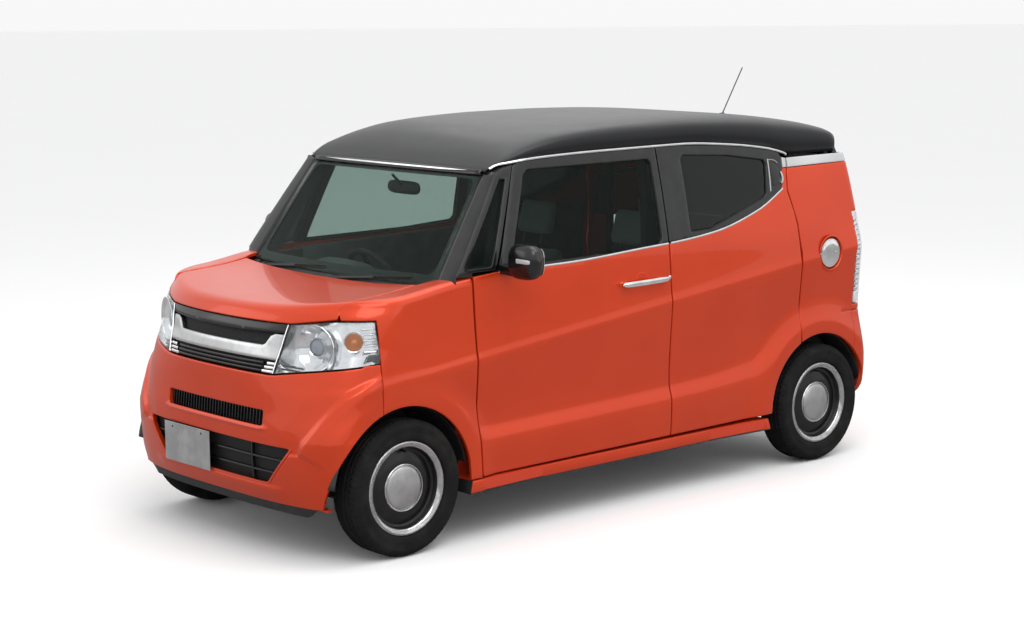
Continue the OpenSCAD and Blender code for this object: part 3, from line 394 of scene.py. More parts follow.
def fill(loops: Sequence[np.ndarray], step: float) -> tuple[np.ndarray, np.ndarray, list[np.ndarray]]:
    """Triangles inside the first loop and outside the others, with inner points a step apart.

    Args:
        loops: Outline first, then holes.
        step: Distance between the inner points.

    Returns:
        The flat points, the triangles and, for each loop, the numbers of its points.
    """
    low, high = loops[0].min(axis=0), loops[0].max(axis=0)
    xs, ys = np.arange(low[0], high[0], step), np.arange(low[1], high[1], step * 0.87)
    grid = np.array([(x + (step / 2 if j % 2 else 0), y) for j, y in enumerate(ys) for x in xs])
    border = np.vstack(loops)
    if len(grid):
        grid = grid[inside(grid, loops)]
        clear = [float(np.min(np.hypot(*(border - g).T))) > step * 0.6 for g in grid]
        grid = grid[np.array(clear, bool)] if len(grid) else grid
    points = np.vstack([border, grid]) if len(grid) else border
    edges, start = [], 0
    for loop in loops:
        n = len(loop)
        edges += [(start + i, start + (i + 1) % n) for i in range(n)]
        start += n
    found, _, faces, origin, _, _ = delaunay_2d_cdt([Vector(p) for p in points], edges, [], 0, 1e-5)
    flat = np.array([tuple(v) for v in found])
    tris = np.array([f for f in faces if len(f) == 3], int)
    middles = flat[tris].mean(axis=1)
    tris = tris[inside(middles, loops)]
    a, b, c = flat[tris[:, 0]], flat[tris[:, 1]], flat[tris[:, 2]]
    area = (b[:, 0] - a[:, 0]) * (c[:, 1] - a[:, 1]) - (b[:, 1] - a[:, 1]) * (c[:, 0] - a[:, 0])
    tris[area < 0] = tris[area < 0][:, ::-1]
    back = {old: new for new, olds in enumerate(origin) for old in olds}
    ids, start = [], 0
    for loop in loops:
        ids.append(np.array([back[start + i] for i in range(len(loop))], int))
        start += len(loop)
    return flat, tris, ids


class MeshMaker:
    """Collects points and faces of one piece and turns them into a Blender object."""

    def __init__(self) -> None:
        """Starts with nothing in it."""
        self.points: list[np.ndarray] = []
        self.faces: list[tuple[int, ...]] = []
        self.slots: list[int] = []
        self.count = 0
        self.slot = 0

    def add(self, points: Any) -> np.ndarray:
        """Adds points and returns their numbers."""
        points = np.asarray(points, float).reshape(-1, 3)
        self.points.append(points)
        ids = np.arange(self.count, self.count + len(points))
        self.count += len(points)
        return ids

    def face(self, *ids: int) -> None:
        """Adds one face, leaving out repeated corners."""
        clean = [int(i) for k, i in enumerate(ids) if i != ids[k - 1]]
        if len(set(clean)) > 2:
            self.faces.append(tuple(clean))
            self.slots.append(self.slot)

    def strip(self, a: np.ndarray, b: np.ndarray, closed: bool = True) -> None:
        """Adds the faces between two rows of the same number of points."""
        n = len(a)
        for i in range(n if closed else n - 1):
            j = (i + 1) % n
            self.face(a[i], a[j], b[j], b[i])

    def grid(self, points: np.ndarray, wrap_u: bool = False, wrap_v: bool = False) -> np.ndarray:
        """Adds a grid of points with its faces.

        Args:
            points: Rows of points, as an array of rows by columns by 3.
            wrap_u: Whether the last row joins the first.
            wrap_v: Whether each row's end joins its start.

        Returns:
            The numbers of the points, row by row.
        """
        rows, cols = points.shape[:2]
        ids = self.add(points.reshape(-1, 3)).reshape(rows, cols)
        for i in range(rows if wrap_u else rows - 1):
            self.strip(ids[i], ids[(i + 1) % rows], closed=wrap_v)
        return ids

    def cap(self, ring: np.ndarray) -> None:
        """Closes a ring of points with a fan about its middle."""
        every = np.vstack(self.points)
        middle = self.add(every[ring].mean(axis=0))[0]
        for i in range(len(ring)):
            self.face(ring[i], ring[(i + 1) % len(ring)], middle)

    def box(self, low: Point, high: Point, bevel: float = 0) -> None:
        """Adds a box with cut edges, from its low and high corners."""
        low_v, high_v = np.array(low, float), np.array(high, float)
        b = min(bevel, *((high_v - low_v) * 0.45)) if bevel else 0
        plan = [(low_v[0] + b, low_v[1]), (high_v[0] - b, low_v[1]), (high_v[0], low_v[1] + b),
                (high_v[0], high_v[1] - b), (high_v[0] - b, high_v[1]), (low_v[0] + b, high_v[1]),
                (low_v[0], high_v[1] - b), (low_v[0], low_v[1] + b)]
        mid = (low_v + high_v) / 2
        rings = []
        for z, pull in ((low_v[2], b), (low_v[2] + b, 0), (high_v[2] - b, 0), (high_v[2], b)):
            ring = []
            for x, y in plan:
                ring.append((x - math.copysign(min(pull, abs(x - mid[0])), x - mid[0]),
                             y - math.copysign(min(pull, abs(y - mid[1])), y - mid[1]), z))
            rings.append(self.add(ring))
        for a, c in zip(rings, rings[1:]):
            self.strip(a, c)
        self.cap(rings[0][::-1])
        self.cap(rings[-1])

    def panel(self, place: Place, outline: Any, holes: Sequence[Any] = (), step: float = 14, thick: float = 20,
              roll: float = 3.5, lift: float = 0, flip: bool = False, back_step: float = 45,
              edge_step: float = 0) -> None:
        """Adds a closed panel cut out of a surface, with rolled edges.

        Args:
            place: The surface, from two flat coordinates to points.
            outline: Closed outline in flat coordinates.
            holes: Closed outlines of openings.
            step: Distance between the points of the outer face.
            thick: Thickness, measured inwards along the surface's normal.
            roll: Radius of the rolled edges.
            lift: Distance of the outer face outside the surface.
            flip: Whether the surface's own normal points inwards.
            back_step: Distance between the points of the inner face.
            edge_step: Distance between the points along the edges, or 0 for the outer face's.
        """
        edge_step = edge_step or step
        loops = [ccw(dense(np.asarray(outline, float), edge_step))]
        loops += [ccw(dense(np.asarray(h, float), edge_step)) for h in holes]
        sides = [1] + [-1] * len(holes)
        roll = min(roll, thick / 2) if thick else roll

        def solid(flat: np.ndarray, depth: float) -> np.ndarray:
            """Points at a depth below the surface."""
            here = place(flat[:, 0], flat[:, 1])
            e = 0.6
            du = place(flat[:, 0] + e, flat[:, 1]) - place(flat[:, 0] - e, flat[:, 1])
            dv = place(flat[:, 0], flat[:, 1] + e) - place(flat[:, 0], flat[:, 1] - e)
            normal = np.cross(du, dv)
            normal /= np.maximum(np.linalg.norm(normal, axis=1, keepdims=True), 1e-9)
            return here + normal * (lift - depth) * (-1 if flip else 1)

        inner = [inset(loop, roll * side) for loop, side in zip(loops, sides)]
        flat, tris, ids = fill(inner, step)
        base = self.add(solid(flat, 0))
        order = (2, 1, 0) if flip else (0, 1, 2)
        for t in tris:
            self.face(*(int(base[t[k]]) for k in order))
        rings = [base[i] for i in ids]
        last: list[np.ndarray] = []
        for loop, side, ring in zip(loops, sides, rings):
            row = ring
            for angle in (35, 65, 90):
                s, c = math.sin(math.radians(angle)), math.cos(math.radians(angle))
                new = self.add(solid(inset(loop, roll * (1 - s) * side), roll * (1 - c)))
                self._join(row, new, side, flip)
                row = new
            last.append(row)
        if thick:
            flat, tris, ids = fill(loops, back_step)
            base = self.add(solid(flat, thick))
            for t in tris:
                self.face(*(int(base[t[k]]) for k in order[::-1]))
            for row, i, side in zip(last, ids, sides):
                self._join(row, base[i], side, flip)

    def _join(self, a: np.ndarray, b: np.ndarray, side: int, flip: bool) -> None:
        """Faces between a loop and the next one down, facing away from the panel."""
        if (side > 0) != flip:
            self.strip(b, a)
        else:
            self.strip(a, b)

    def lathe(self, profile: Sequence[Point], centre: Point, axis: str = "x", count: int = 96,
              sign: float = 1) -> None:
        """Adds a turned form.

        Args:
            profile: Points (radius, distance along the axis); closed if its ends meet.
            centre: The point that distances along the axis start from.
            axis: The axis's letter.
            count: Number of steps round.
            sign: 1 or -1, the way along the axis.
        """
        p = np.array([q[:2] for q in profile], float)
        closed = bool(np.allclose(p[0], p[-1]))
        if closed:
            p = p[:-1]
        angle = np.linspace(0, 2 * math.pi, count, endpoint=False)
        ring = np.stack([np.cos(angle), np.sin(angle)], axis=1)
        rows = []
        for r, d in p:
            a, b = ring[:, 0] * r, ring[:, 1] * r
            d = np.full(count, d * sign)
            rows.append(np.stack({"x": (d, a, b), "y": (b, d, a), "z": (a, b, d)}[axis], axis=1))
        points = np.array(rows) + np.array(centre, float)
        if sign > 0:
            points = points[:, ::-1]
        self.grid(points, wrap_u=closed, wrap_v=True)

    def sweep(self, path: Any, profile: Any, outward: Any, closed: bool = False) -> None:
        """Adds a profile swept along a path.

        Args:
            path: Points of the path.
            profile: Closed profile as (outward, across) distances.
            outward: Outward direction at each point, or one for all.
            closed: Whether the path joins up.
        """
        path = np.asarray(path, float)
        outward = np.broadcast_to(np.asarray(outward, float), path.shape)
        ahead = np.roll(path, -1, axis=0) - np.roll(path, 1, axis=0)
        if not closed:
            ahead[0], ahead[-1] = path[1] - path[0], path[-1] - path[-2]
        ahead = ahead / np.linalg.norm(ahead, axis=1, keepdims=True)
        across = np.cross(ahead, outward)
        across /= np.linalg.norm(across, axis=1, keepdims=True)
        out = np.cross(across, ahead)
        profile = np.asarray(profile, float)
        rows = np.array([p + out[i] * profile[:, :1] + across[i] * profile[:, 1:] for i, p in enumerate(path)])
        ids = self.grid(rows, wrap_u=closed, wrap_v=True)
        if not closed:
            self.cap(ids[0][::-1])
            self.cap(ids[-1])

    def slab(self, points: np.ndarray, thick: float, roll: float) -> None:
        """Adds a closed slab under a grid of points, with rolled edges.

        Args:
            points: Outer face, as rows by columns by 3, whose rows cross columns outwards.
            thick: Thickness inwards.
            roll: Radius of the rolled edges.
        """
        du, dv = np.gradient(points, axis=0), np.gradient(points, axis=1)
        normal = np.cross(du, dv)
        normal /= np.maximum(np.linalg.norm(normal, axis=2, keepdims=True), 1e-9)
        du /= np.maximum(np.linalg.norm(du, axis=2, keepdims=True), 1e-9)
        dv /= np.maximum(np.linalg.norm(dv, axis=2, keepdims=True), 1e-9)
        inward = np.zeros_like(points)
        inward[0] += du[0]
        inward[-1] -= du[-1]
        inward[:, 0] += dv[:, 0]
        inward[:, -1] -= dv[:, -1]
        rows, cols = points.shape[:2]
        loop = [(0, j) for j in range(cols)] + [(i, cols - 1) for i in range(1, rows)] \
            + [(rows - 1, j) for j in range(cols - 2, -1, -1)] + [(i, 0) for i in range(rows - 2, 0, -1)]
        at = tuple(np.array(loop).T)
        ids = self.grid(points + inward * roll)
        row = ids[at]
        for angle in (35, 65, 90):
            s, c = math.sin(math.radians(angle)), math.cos(math.radians(angle))
            new = self.add(points[at] + inward[at] * roll * (1 - s) - normal[at] * roll * (1 - c))
            self.strip(row, new)
            row = new
        under = self.grid((points - normal * thick)[:, ::-1])[:, ::-1]
        self.strip(row, under[at])

    def rod(self, start: Point, end: Point, radius: float, count: int = 20) -> None:
        """Adds a straight round rod between two points."""
        a, b = Vector(start), Vector(end)
        turn = (b - a).to_track_quat("Z", "Y").to_matrix()
        ring = [Vector((radius * math.cos(q), radius * math.sin(q), 0))
                for q in np.linspace(0, 2 * math.pi, count, endpoint=False)]
        low = self.add([tuple(a + turn @ p) for p in ring])
        high = self.add([tuple(b + turn @ p) for p in ring])
        self.strip(low, high)
        self.cap(low[::-1])
        self.cap(high)

    def move(self, matrix: Matrix) -> None:
        """Moves everything so far by a matrix."""
        turn, shift = np.array(matrix.to_3x3()), np.array(matrix.to_translation())
        self.points = [p @ turn.T + shift for p in self.points]

    def mirror(self) -> None:
        """Adds a copy of everything so far on the car's other side."""
        points = np.vstack(self.points) * (-1, 1, 1)
        start = self.count
        self.add(points)
        for f, s in list(zip(self.faces, self.slots)):
            self.faces.append(tuple(start + i for i in reversed(f)))
            self.slots.append(s)

    def build(self, name: str, finishes: Any, side: int = 1, sharp: float = 38, scale: float = MM) -> bpy.types.Object:
        """Makes the Blender object.

        Args:
            name: The piece's name.
            finishes: A material, or one for each face slot.
            side: -1 to build the piece on the other side of the car.
            sharp: Angle in degrees above which an edge is shaded sharp.
            scale: Metres to a unit.

        Returns:
            The new object.
        """
        points = np.vstack(self.points) * scale
        faces = self.faces
        if side < 0:
            points = points * (-1, 1, 1)
            faces = [tuple(reversed(f)) for f in faces]
        mesh = bpy.data.meshes.new(name)
        mesh.from_pydata([tuple(p) for p in points], [], faces)
        for material in finishes if isinstance(finishes, (list, tuple)) else [finishes]:
            mesh.materials.append(material)
        mesh.polygons.foreach_set("material_index", self.slots)
        mesh.validate()
        bm = bmesh.new()
        bm.from_mesh(mesh)
        bmesh.ops.remove_doubles(bm, verts=bm.verts, dist=2e-6)
        bmesh.ops.recalc_face_normals(bm, faces=bm.faces)
        loose = [v for v in bm.verts if not v.link_faces]
        bmesh.ops.delete(bm, geom=loose, context="VERTS")
        bm.to_mesh(mesh)
        bm.free()
        mesh.polygons.foreach_set("use_smooth", [True] * len(mesh.polygons))
        mesh.set_sharp_from_angle(angle=math.radians(sharp))
        mesh.update()
        piece = bpy.data.objects.new(name, mesh)
        bpy.context.scene.collection.objects.link(piece)
        return piece


def keep(piece: bpy.types.Object, body: str, replaces: Sequence[str] = ()) -> bpy.types.Object:
    """Args:
        piece: The finished piece.
        body: Body that carries it.
        replaces: CAD nodes that it stands for.

    Returns:
        The piece.
    """
    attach(piece, body)
    if replaces:
        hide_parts(*replaces)
    LOG.info("%s on %s: %d faces", piece.name, body, len(piece.data.polygons) if piece.type == "MESH" else 0)
    return piece


# ---------------------------------------------------------------- shading


class Sock:
    """A node socket, or a value worked out from one, that takes part in Python sums."""

    def __init__(self, graph: "Graph", link: Any) -> None:
        """Wraps an output socket of a graph."""
        self.graph, self.link = graph, link

    def _math(self, operation: str, *values: Any) -> "Sock":
        """One Math node on some values."""
        return self.graph.node("ShaderNodeMath", {"operation": operation}, dict(enumerate(values)))

    def __add__(self, other: Any) -> "Sock":
        """Sum."""
        return self._math("ADD", self, other)

    __radd__ = __add__

    def __sub__(self, other: Any) -> "Sock":
        """Difference."""
        return self._math("SUBTRACT", self, other)

    def __rsub__(self, other: Any) -> "Sock":
        """Difference from a number."""
        return self._math("SUBTRACT", other, self)

    def __mul__(self, other: Any) -> "Sock":
        """Product."""
        return self._math("MULTIPLY", self, other)

    __rmul__ = __mul__

    def __truediv__(self, other: Any) -> "Sock":
        """Quotient."""
        return self._math("DIVIDE", self, other)

    def __pow__(self, other: Any) -> "Sock":
        """Power."""
        return self._math("POWER", self, other)

    def __gt__(self, other: Any) -> "Sock":
        """1 where greater, else 0."""
        return self._math("GREATER_THAN", self, other)

    def __lt__(self, other: Any) -> "Sock":
        """1 where smaller, else 0."""
        return self._math("LESS_THAN", self, other)

    def sine(self) -> "Sock":
        """Sine."""
        return self._math("SINE", self)

    def absolute(self) -> "Sock":
        """Value without its sign."""
        return self._math("ABSOLUTE", self)

    def smooth(self, low: float, high: float) -> "Sock":
        """Smooth step from 0 at low to 1 at high."""
        return self.graph.node("ShaderNodeMapRange", {"interpolation_type": "SMOOTHSTEP"},
                               {"Value": self, "From Min": low, "From Max": high})


class Graph:
    """Nodes of one material."""

    def __init__(self, name: str) -> None:
        """Starts an empty material of that name."""
        self.material = bpy.data.materials.new(name)
        self.material.use_nodes = True
        self.tree = self.material.node_tree
        self.tree.nodes.clear()

    def node(self, kind: str, settings: dict[str, Any] | None = None, inputs: dict[Any, Any] | None = None,
             output: Any = 0) -> Sock:
        """Adds a node.

        Args:
            kind: Blender's name of the node's type.
            settings: Its settings, set first; "stops" holds a ramp's (place, colour) rows.
            inputs: A value or a Sock for each of its sockets, by name or number.
            output: Name or number of the output wanted.

        Returns:
            The wanted output.
        """
        new = self.tree.nodes.new(kind)
        for key, value in (settings or {}).items():
            if key == "stops":
                ramp = new.color_ramp.elements
                while len(ramp) > 1:
                    ramp.remove(ramp[-1])
                ramp[0].position, ramp[0].color = value[0][0], (*value[0][1], 1)
                for place, colour in value[1:]:
                    ramp.new(place).color = (*colour, 1)
            else:
                setattr(new, key, value)
        for key, value in (inputs or {}).items():
            socket = new.inputs[key]
            if isinstance(value, Sock):
                self.tree.links.new(value.link, socket)
            else:
                if socket.type == "RGBA" and len(value) == 3:
                    value = (*value, 1)
                socket.default_value = value
        return Sock(self, new.outputs[output])

    def place(self) -> Sock:
        """Object coordinates in metres."""
        return self.node("ShaderNodeTexCoord", output="Object")

    def parts(self) -> tuple[Sock, Sock, Sock]:
        """Object coordinates one by one."""
        cut = self.node("ShaderNodeSeparateXYZ", inputs={0: self.place()})
        outs = cut.link.node.outputs
        return Sock(self, outs[0]), Sock(self, outs[1]), Sock(self, outs[2])

    def noise(self, scale: float, detail: float = 3, roughness: float = 0.5, stretch: Point = (1, 1, 1)) -> Sock:
        """Noise over the object, from 0 to 1."""
        where = self.node("ShaderNodeMapping", inputs={"Vector": self.place(), "Scale": tuple(stretch)})
        return self.node("ShaderNodeTexNoise", inputs={"Vector": where, "Scale": scale, "Detail": detail,
                                                       "Roughness": roughness})

    def cells(self, scale: float, feature: str = "F1") -> Sock:
        """Distances inside a field of cells."""
        return self.node("ShaderNodeTexVoronoi", {"feature": feature}, {"Vector": self.place(), "Scale": scale})

    def mix(self, share: Any, a: Any, b: Any) -> Sock:
        """Colour between two colours."""
        return self.node("ShaderNodeMix", {"data_type": "RGBA"}, {0: share, 6: a, 7: b}, output=2)

    def bump(self, height: Sock, distance: float, strength: float = 1.0) -> Sock:
        """Normal with a relief of that depth in metres."""
        return self.node("ShaderNodeBump", inputs={"Height": height, "Distance": distance, "Strength": strength})

    def shader(self, **inputs: Any) -> Sock:
        """Principled shader; underscores in names stand for spaces."""
        return self.node("ShaderNodeBsdfPrincipled", inputs={k.replace("_", " "): v for k, v in inputs.items()})

    def done(self, surface: Sock) -> bpy.types.Material:
        """Joins the surface to the material's output and returns the material."""
        self.node_output = self.tree.nodes.new("ShaderNodeOutputMaterial")
        self.tree.links.new(surface.link, self.node_output.inputs[0])
        return self.material


@dataclass(frozen=True)
class CarPaint:
    """Gloss paint with fine flakes under a clear coat."""

    name: str
    colour: tuple[float, float, float]
    deep: tuple[float, float, float]
    flake: float = 0.35
    rough: float = 0.34
    coat: float = 1.0
    coat_rough: float = 0.035
    metal: float = 0.12

    def material(self) -> bpy.types.Material:
        """The paint as a material."""
        g = Graph(self.name)
        tone = g.noise(3.0, 2)
        colour = g.mix(tone.smooth(0.3, 0.7), self.deep, self.colour)
        flakes = g.cells(1400)
        dust = g.noise(11, 6, 0.62)
        peel = g.noise(260, 2)
        colour = g.mix((flakes < 0.16) * self.flake, colour, tuple(min(1, c * 1.5 + 0.03) for c in self.colour))
        return g.done(g.shader(Base_Color=colour, Metallic=self.metal, Roughness=self.rough + dust * 0.06,
                               Coat_Weight=self.coat, Coat_Roughness=self.coat_rough, Specular_IOR_Level=0.3,
                               Normal=g.bump(peel, 0.00002)))


@dataclass(frozen=True)
class Moulding:
    """Moulded plastic or rubber with a fine grain."""

    name: str
    colour: tuple[float, float, float]
    rough: float = 0.5
    grain: float = 900
    depth: float = 0.00008
    coat: float = 0.0
    metal: float = 0.0

    def material(self) -> bpy.types.Material:
        """The moulding as a material."""
        g = Graph(self.name)
        wear = g.noise(14, 5, 0.6)
        lift = g.cells(self.grain)
        lighter = tuple(min(1, c * 1.35 + 0.006) for c in self.colour)
        return g.done(g.shader(Base_Color=g.mix(wear.smooth(0.35, 0.75), self.colour, lighter), Metallic=self.metal,
                               Roughness=self.rough + wear * 0.12, Coat_Weight=self.coat, Coat_Roughness=0.04,
                               Normal=g.bump(lift, self.depth)))


@dataclass(frozen=True)
class Metal:
    """Bright metal: polished, satin, brushed or cast."""

    name: str
    colour: tuple[float, float, float]
    rough: float = 0.12
    brushed: Point = (1, 1, 1)
    depth: float = 0.00001

    def material(self) -> bpy.types.Material:
        """The metal as a material."""
        g = Graph(self.name)
        haze = g.noise(18, 5, 0.6)
        lines = g.noise(420, 3, 0.6, self.brushed)
        darker = tuple(c * 0.82 for c in self.colour)
        return g.done(g.shader(Base_Color=g.mix(haze.smooth(0.3, 0.75), self.colour, darker), Metallic=1.0,
                               Roughness=self.rough + haze * 0.06 + lines * 0.05, Normal=g.bump(lines, self.depth)))


@dataclass(frozen=True)
class Pane:
    """Glass or a clear lens: sees through by a share, with a clear gloss."""

    name: str
    colour: tuple[float, float, float]
    cover: float = 0.3
    rough: float = 0.02
    milk: float = 1.0

    def material(self) -> bpy.types.Material:
        """The pane as a material."""
        g = Graph(self.name)
        film = g.noise(6, 4, 0.6)
        see = g.node("ShaderNodeBsdfTransparent", inputs={"Color": tuple(0.3 + 0.7 * c for c in self.colour)})
        skin = g.shader(Base_Color=g.mix(film, tuple(c * self.milk for c in self.colour),
                                         tuple(c * self.milk * 0.8 for c in self.colour)),
                        Roughness=self.rough + film * 0.02, Specular_IOR_Level=0.5)
        slant = g.node("ShaderNodeLayerWeight", inputs={"Blend": 0.5}, output="Facing")
        steep = slant * slant
        share = steep * steep * slant * (0.8 - self.cover * 0.8) + self.cover
        return g.done(g.node("ShaderNodeMixShader", inputs={0: share, 1: see, 2: skin}))


@dataclass(frozen=True)
class Cloth:
    """Woven seat cloth."""

    name: str
    colour: tuple[float, float, float]
    light: tuple[float, float, float]
    threads: float = 1500

    def material(self) -> bpy.types.Material:
        """The cloth as a material."""
        g = Graph(self.name)
        x, y, z = g.parts()
        warp = ((x + z * 0.35) * self.threads).sine()
        weft = ((y + z) * self.threads).sine()
        weave = (warp * weft).smooth(-1, 1)
        blotch = g.noise(40, 5, 0.65)
        colour = g.mix(weave * 0.6 + blotch * 0.35, self.colour, self.light)
        return g.done(g.shader(Base_Color=colour, Roughness=0.86, Sheen_Weight=0.35, Sheen_Roughness=0.5,
                               Specular_IOR_Level=0.25, Normal=g.bump(weave + blotch * 0.4, 0.0006)))


@dataclass(frozen=True)
class Tread:
    """Tyre rubber with patches of dust and a fine grit."""

    name: str
    colour: tuple[float, float, float] = (0.009, 0.009, 0.0095)

    def material(self) -> bpy.types.Material:
        """The rubber as a material."""
        g = Graph(self.name)
        dust = g.noise(9, 5, 0.6)
        grit = g.noise(700, 3)
        colour = g.mix(dust.smooth(0.4, 0.8) * 0.8, self.colour, (0.026, 0.025, 0.023))
        return g.done(g.shader(Base_Color=colour, Roughness=0.72 + dust * 0.2, Specular_IOR_Level=0.15,
                               Normal=g.bump(grit, 0.00025)))


@dataclass(frozen=True)
class Lattice:
    """Expanded mesh behind an opening: fine black bars, with the holes between them painted near-black as painted shade
    of the space behind.
    """

    name: str
    pitch: float = 0.011

    def material(self) -> bpy.types.Material:
        """The mesh as a material."""
        g = Graph(self.name)
        x, _, z = g.parts()
        a = ((x * 0.5 + z) / self.pitch * math.pi).sine().absolute()
        b = ((x * 0.5 - z) / self.pitch * math.pi).sine().absolute()
        bar = 1 - (a * b).smooth(0.08, 0.3)
        dirt = g.noise(30, 4)
        # Painted shade: the holes get near-black (0.002) for the dark space behind the mesh; the bars are black plastic
        # with random dirt.
        colour = g.mix(bar * (0.6 + dirt * 0.4), (0.002, 0.002, 0.002), (0.05, 0.05, 0.052))
        return g.done(g.shader(Base_Color=colour, Roughness=0.7 - bar * 0.3, Specular_IOR_Level=0.4,
                               Normal=g.bump(bar, 0.003)))


@dataclass(frozen=True)
class ShellFinish:
    """Body structure: painted where a door opening shows it, dark above the belt and below the floor."""

    name: str
    paint: tuple[float, float, float] = (0.60, 0.040, 0.008)
    dark: tuple[float, float, float] = (0.014, 0.014, 0.015)

    def material(self) -> bpy.types.Material:
        """The finish as a material."""
        g = Graph(self.name)
        x, y, z = g.parts()
        outer = x.absolute().smooth(0.585, 0.6)
        band = z.smooth(0.212, 0.214) * (1 - z.smooth(1.088, 1.092))
        doors = y.smooth(-0.925, -0.92) * (1 - y.smooth(1.17, 1.175))
        grime = g.noise(12, 5, 0.6)
        colour = g.mix(outer * band * doors, g.mix(grime.smooth(0.4, 0.7), self.dark, (0.03, 0.029, 0.028)),
                       self.paint)
        return g.done(g.shader(Base_Color=colour, Roughness=0.45 + grime * 0.2,
                               Normal=g.bump(g.noise(300, 3), 0.00015)))


class Finishes:
    """Every finish of the car, made once."""

    def __init__(self) -> None:
        """Makes the materials."""
        black = (0.0075, 0.008, 0.0095)
        self.paint = CarPaint("body_paint", (0.67, 0.050, 0.006), (0.64, 0.045, 0.005), 0.2, 0.32, 0.5,
                              metal=0.4).material()
        self.roof = CarPaint("roof_paint", (0.009, 0.0095, 0.0115), black, 0.06, 0.36, 0.12, 0.14).material()
        self.gloss = Moulding("gloss_black", (0.005, 0.0054, 0.006), 0.14, 500, 0.000006, coat=0.1).material()
        self.trim = Moulding("black_trim", (0.016, 0.016, 0.017), 0.52).material()
        self.dash = Moulding("dash_plastic", (0.10, 0.10, 0.104), 0.6, 700, 0.00012).material()
        self.rubber = Moulding("seal_rubber", (0.011, 0.011, 0.0115), 0.6, 300, 0.00005).material()
        self.lining = Moulding("roof_lining", (0.33, 0.32, 0.3), 0.85, 900, 0.0003).material()
        self.carpet = Cloth("floor_carpet", (0.02, 0.02, 0.021), (0.05, 0.05, 0.052), 900).material()
        self.cloth = Cloth("seat_cloth", (0.22, 0.225, 0.23), (0.40, 0.405, 0.41)).material()
        self.chrome = Metal("chrome", (0.93, 0.935, 0.94), 0.06).material()
        self.satin = Metal("satin_silver", (0.66, 0.665, 0.67), 0.24, (1, 1, 8), 0.00002).material()
        self.silver = CarPaint("silver_paint", (0.62, 0.63, 0.64), (0.5, 0.51, 0.52), 0.5, 0.28).material()
        self.steel = Moulding("chassis_black", (0.02, 0.02, 0.021), 0.42, 260, 0.0002).material()
        self.cast = Metal("cast_metal", (0.32, 0.32, 0.32), 0.42, (1, 1, 1), 0.0004).material()
        self.exhaust = Metal("exhaust_steel", (0.5, 0.47, 0.43), 0.32, (6, 1, 6), 0.00006).material()
        self.wheel = Moulding("wheel_black", (0.012, 0.012, 0.013), 0.3, 260, 0.00003, coat=0.5).material()
        self.tyre = Tread("tyre_rubber").material()
        self.lattice = Lattice("grille_mesh").material()
        self.screen = Pane("screen_glass", (0.70, 0.80, 0.76), 0.07, 0.01, 0.12).material()
        self.clear = Pane("side_glass", (0.50, 0.60, 0.57), 0.08, 0.01, 0.12).material()
        self.privacy = Pane("privacy_glass", (0.012, 0.018, 0.016), 0.6, 0.01, 0.5).material()
        self.lens = Pane("clear_lens", (0.95, 0.96, 0.97), 0.04, 0.015).material()
        self.amber = Pane("amber_bulb", (0.95, 0.30, 0.02), 0.75, 0.1).material()
        self.red = Pane("red_lens", (0.5, 0.008, 0.006), 0.8, 0.05).material()
        self.smoke = Pane("smoked_lens", (0.03, 0.03, 0.032), 0.7, 0.05).material()
        self.plate = Moulding("blank_plate", (0.27, 0.27, 0.275), 0.35, 200, 0.00003, coat=0.3).material()
        self.white = Moulding("white_lens", (0.78, 0.79, 0.8), 0.16, 300, 0.00002, coat=0.8).material()
        self.reflector = Metal("lamp_reflector", (0.92, 0.93, 0.94), 0.1, (1, 1, 1), 0.00004).material()
        self.bead = Pane("lamp_bead", (0.55, 0.6, 0.66), 0.55, 0.02).material()
        self.cap = Metal("cap_silver", (0.93, 0.935, 0.94), 0.3, (8, 1, 1), 0.00002).material()
        self.grip = Moulding("wheel_grip", (0.02, 0.02, 0.021), 0.45, 1400, 0.0002).material()
        self.shell = ShellFinish("shell_steel").material()
        self.mirror_glass = Metal("mirror_glass", (0.75, 0.78, 0.8), 0.02).material()


# ---------------------------------------------------------------- studio


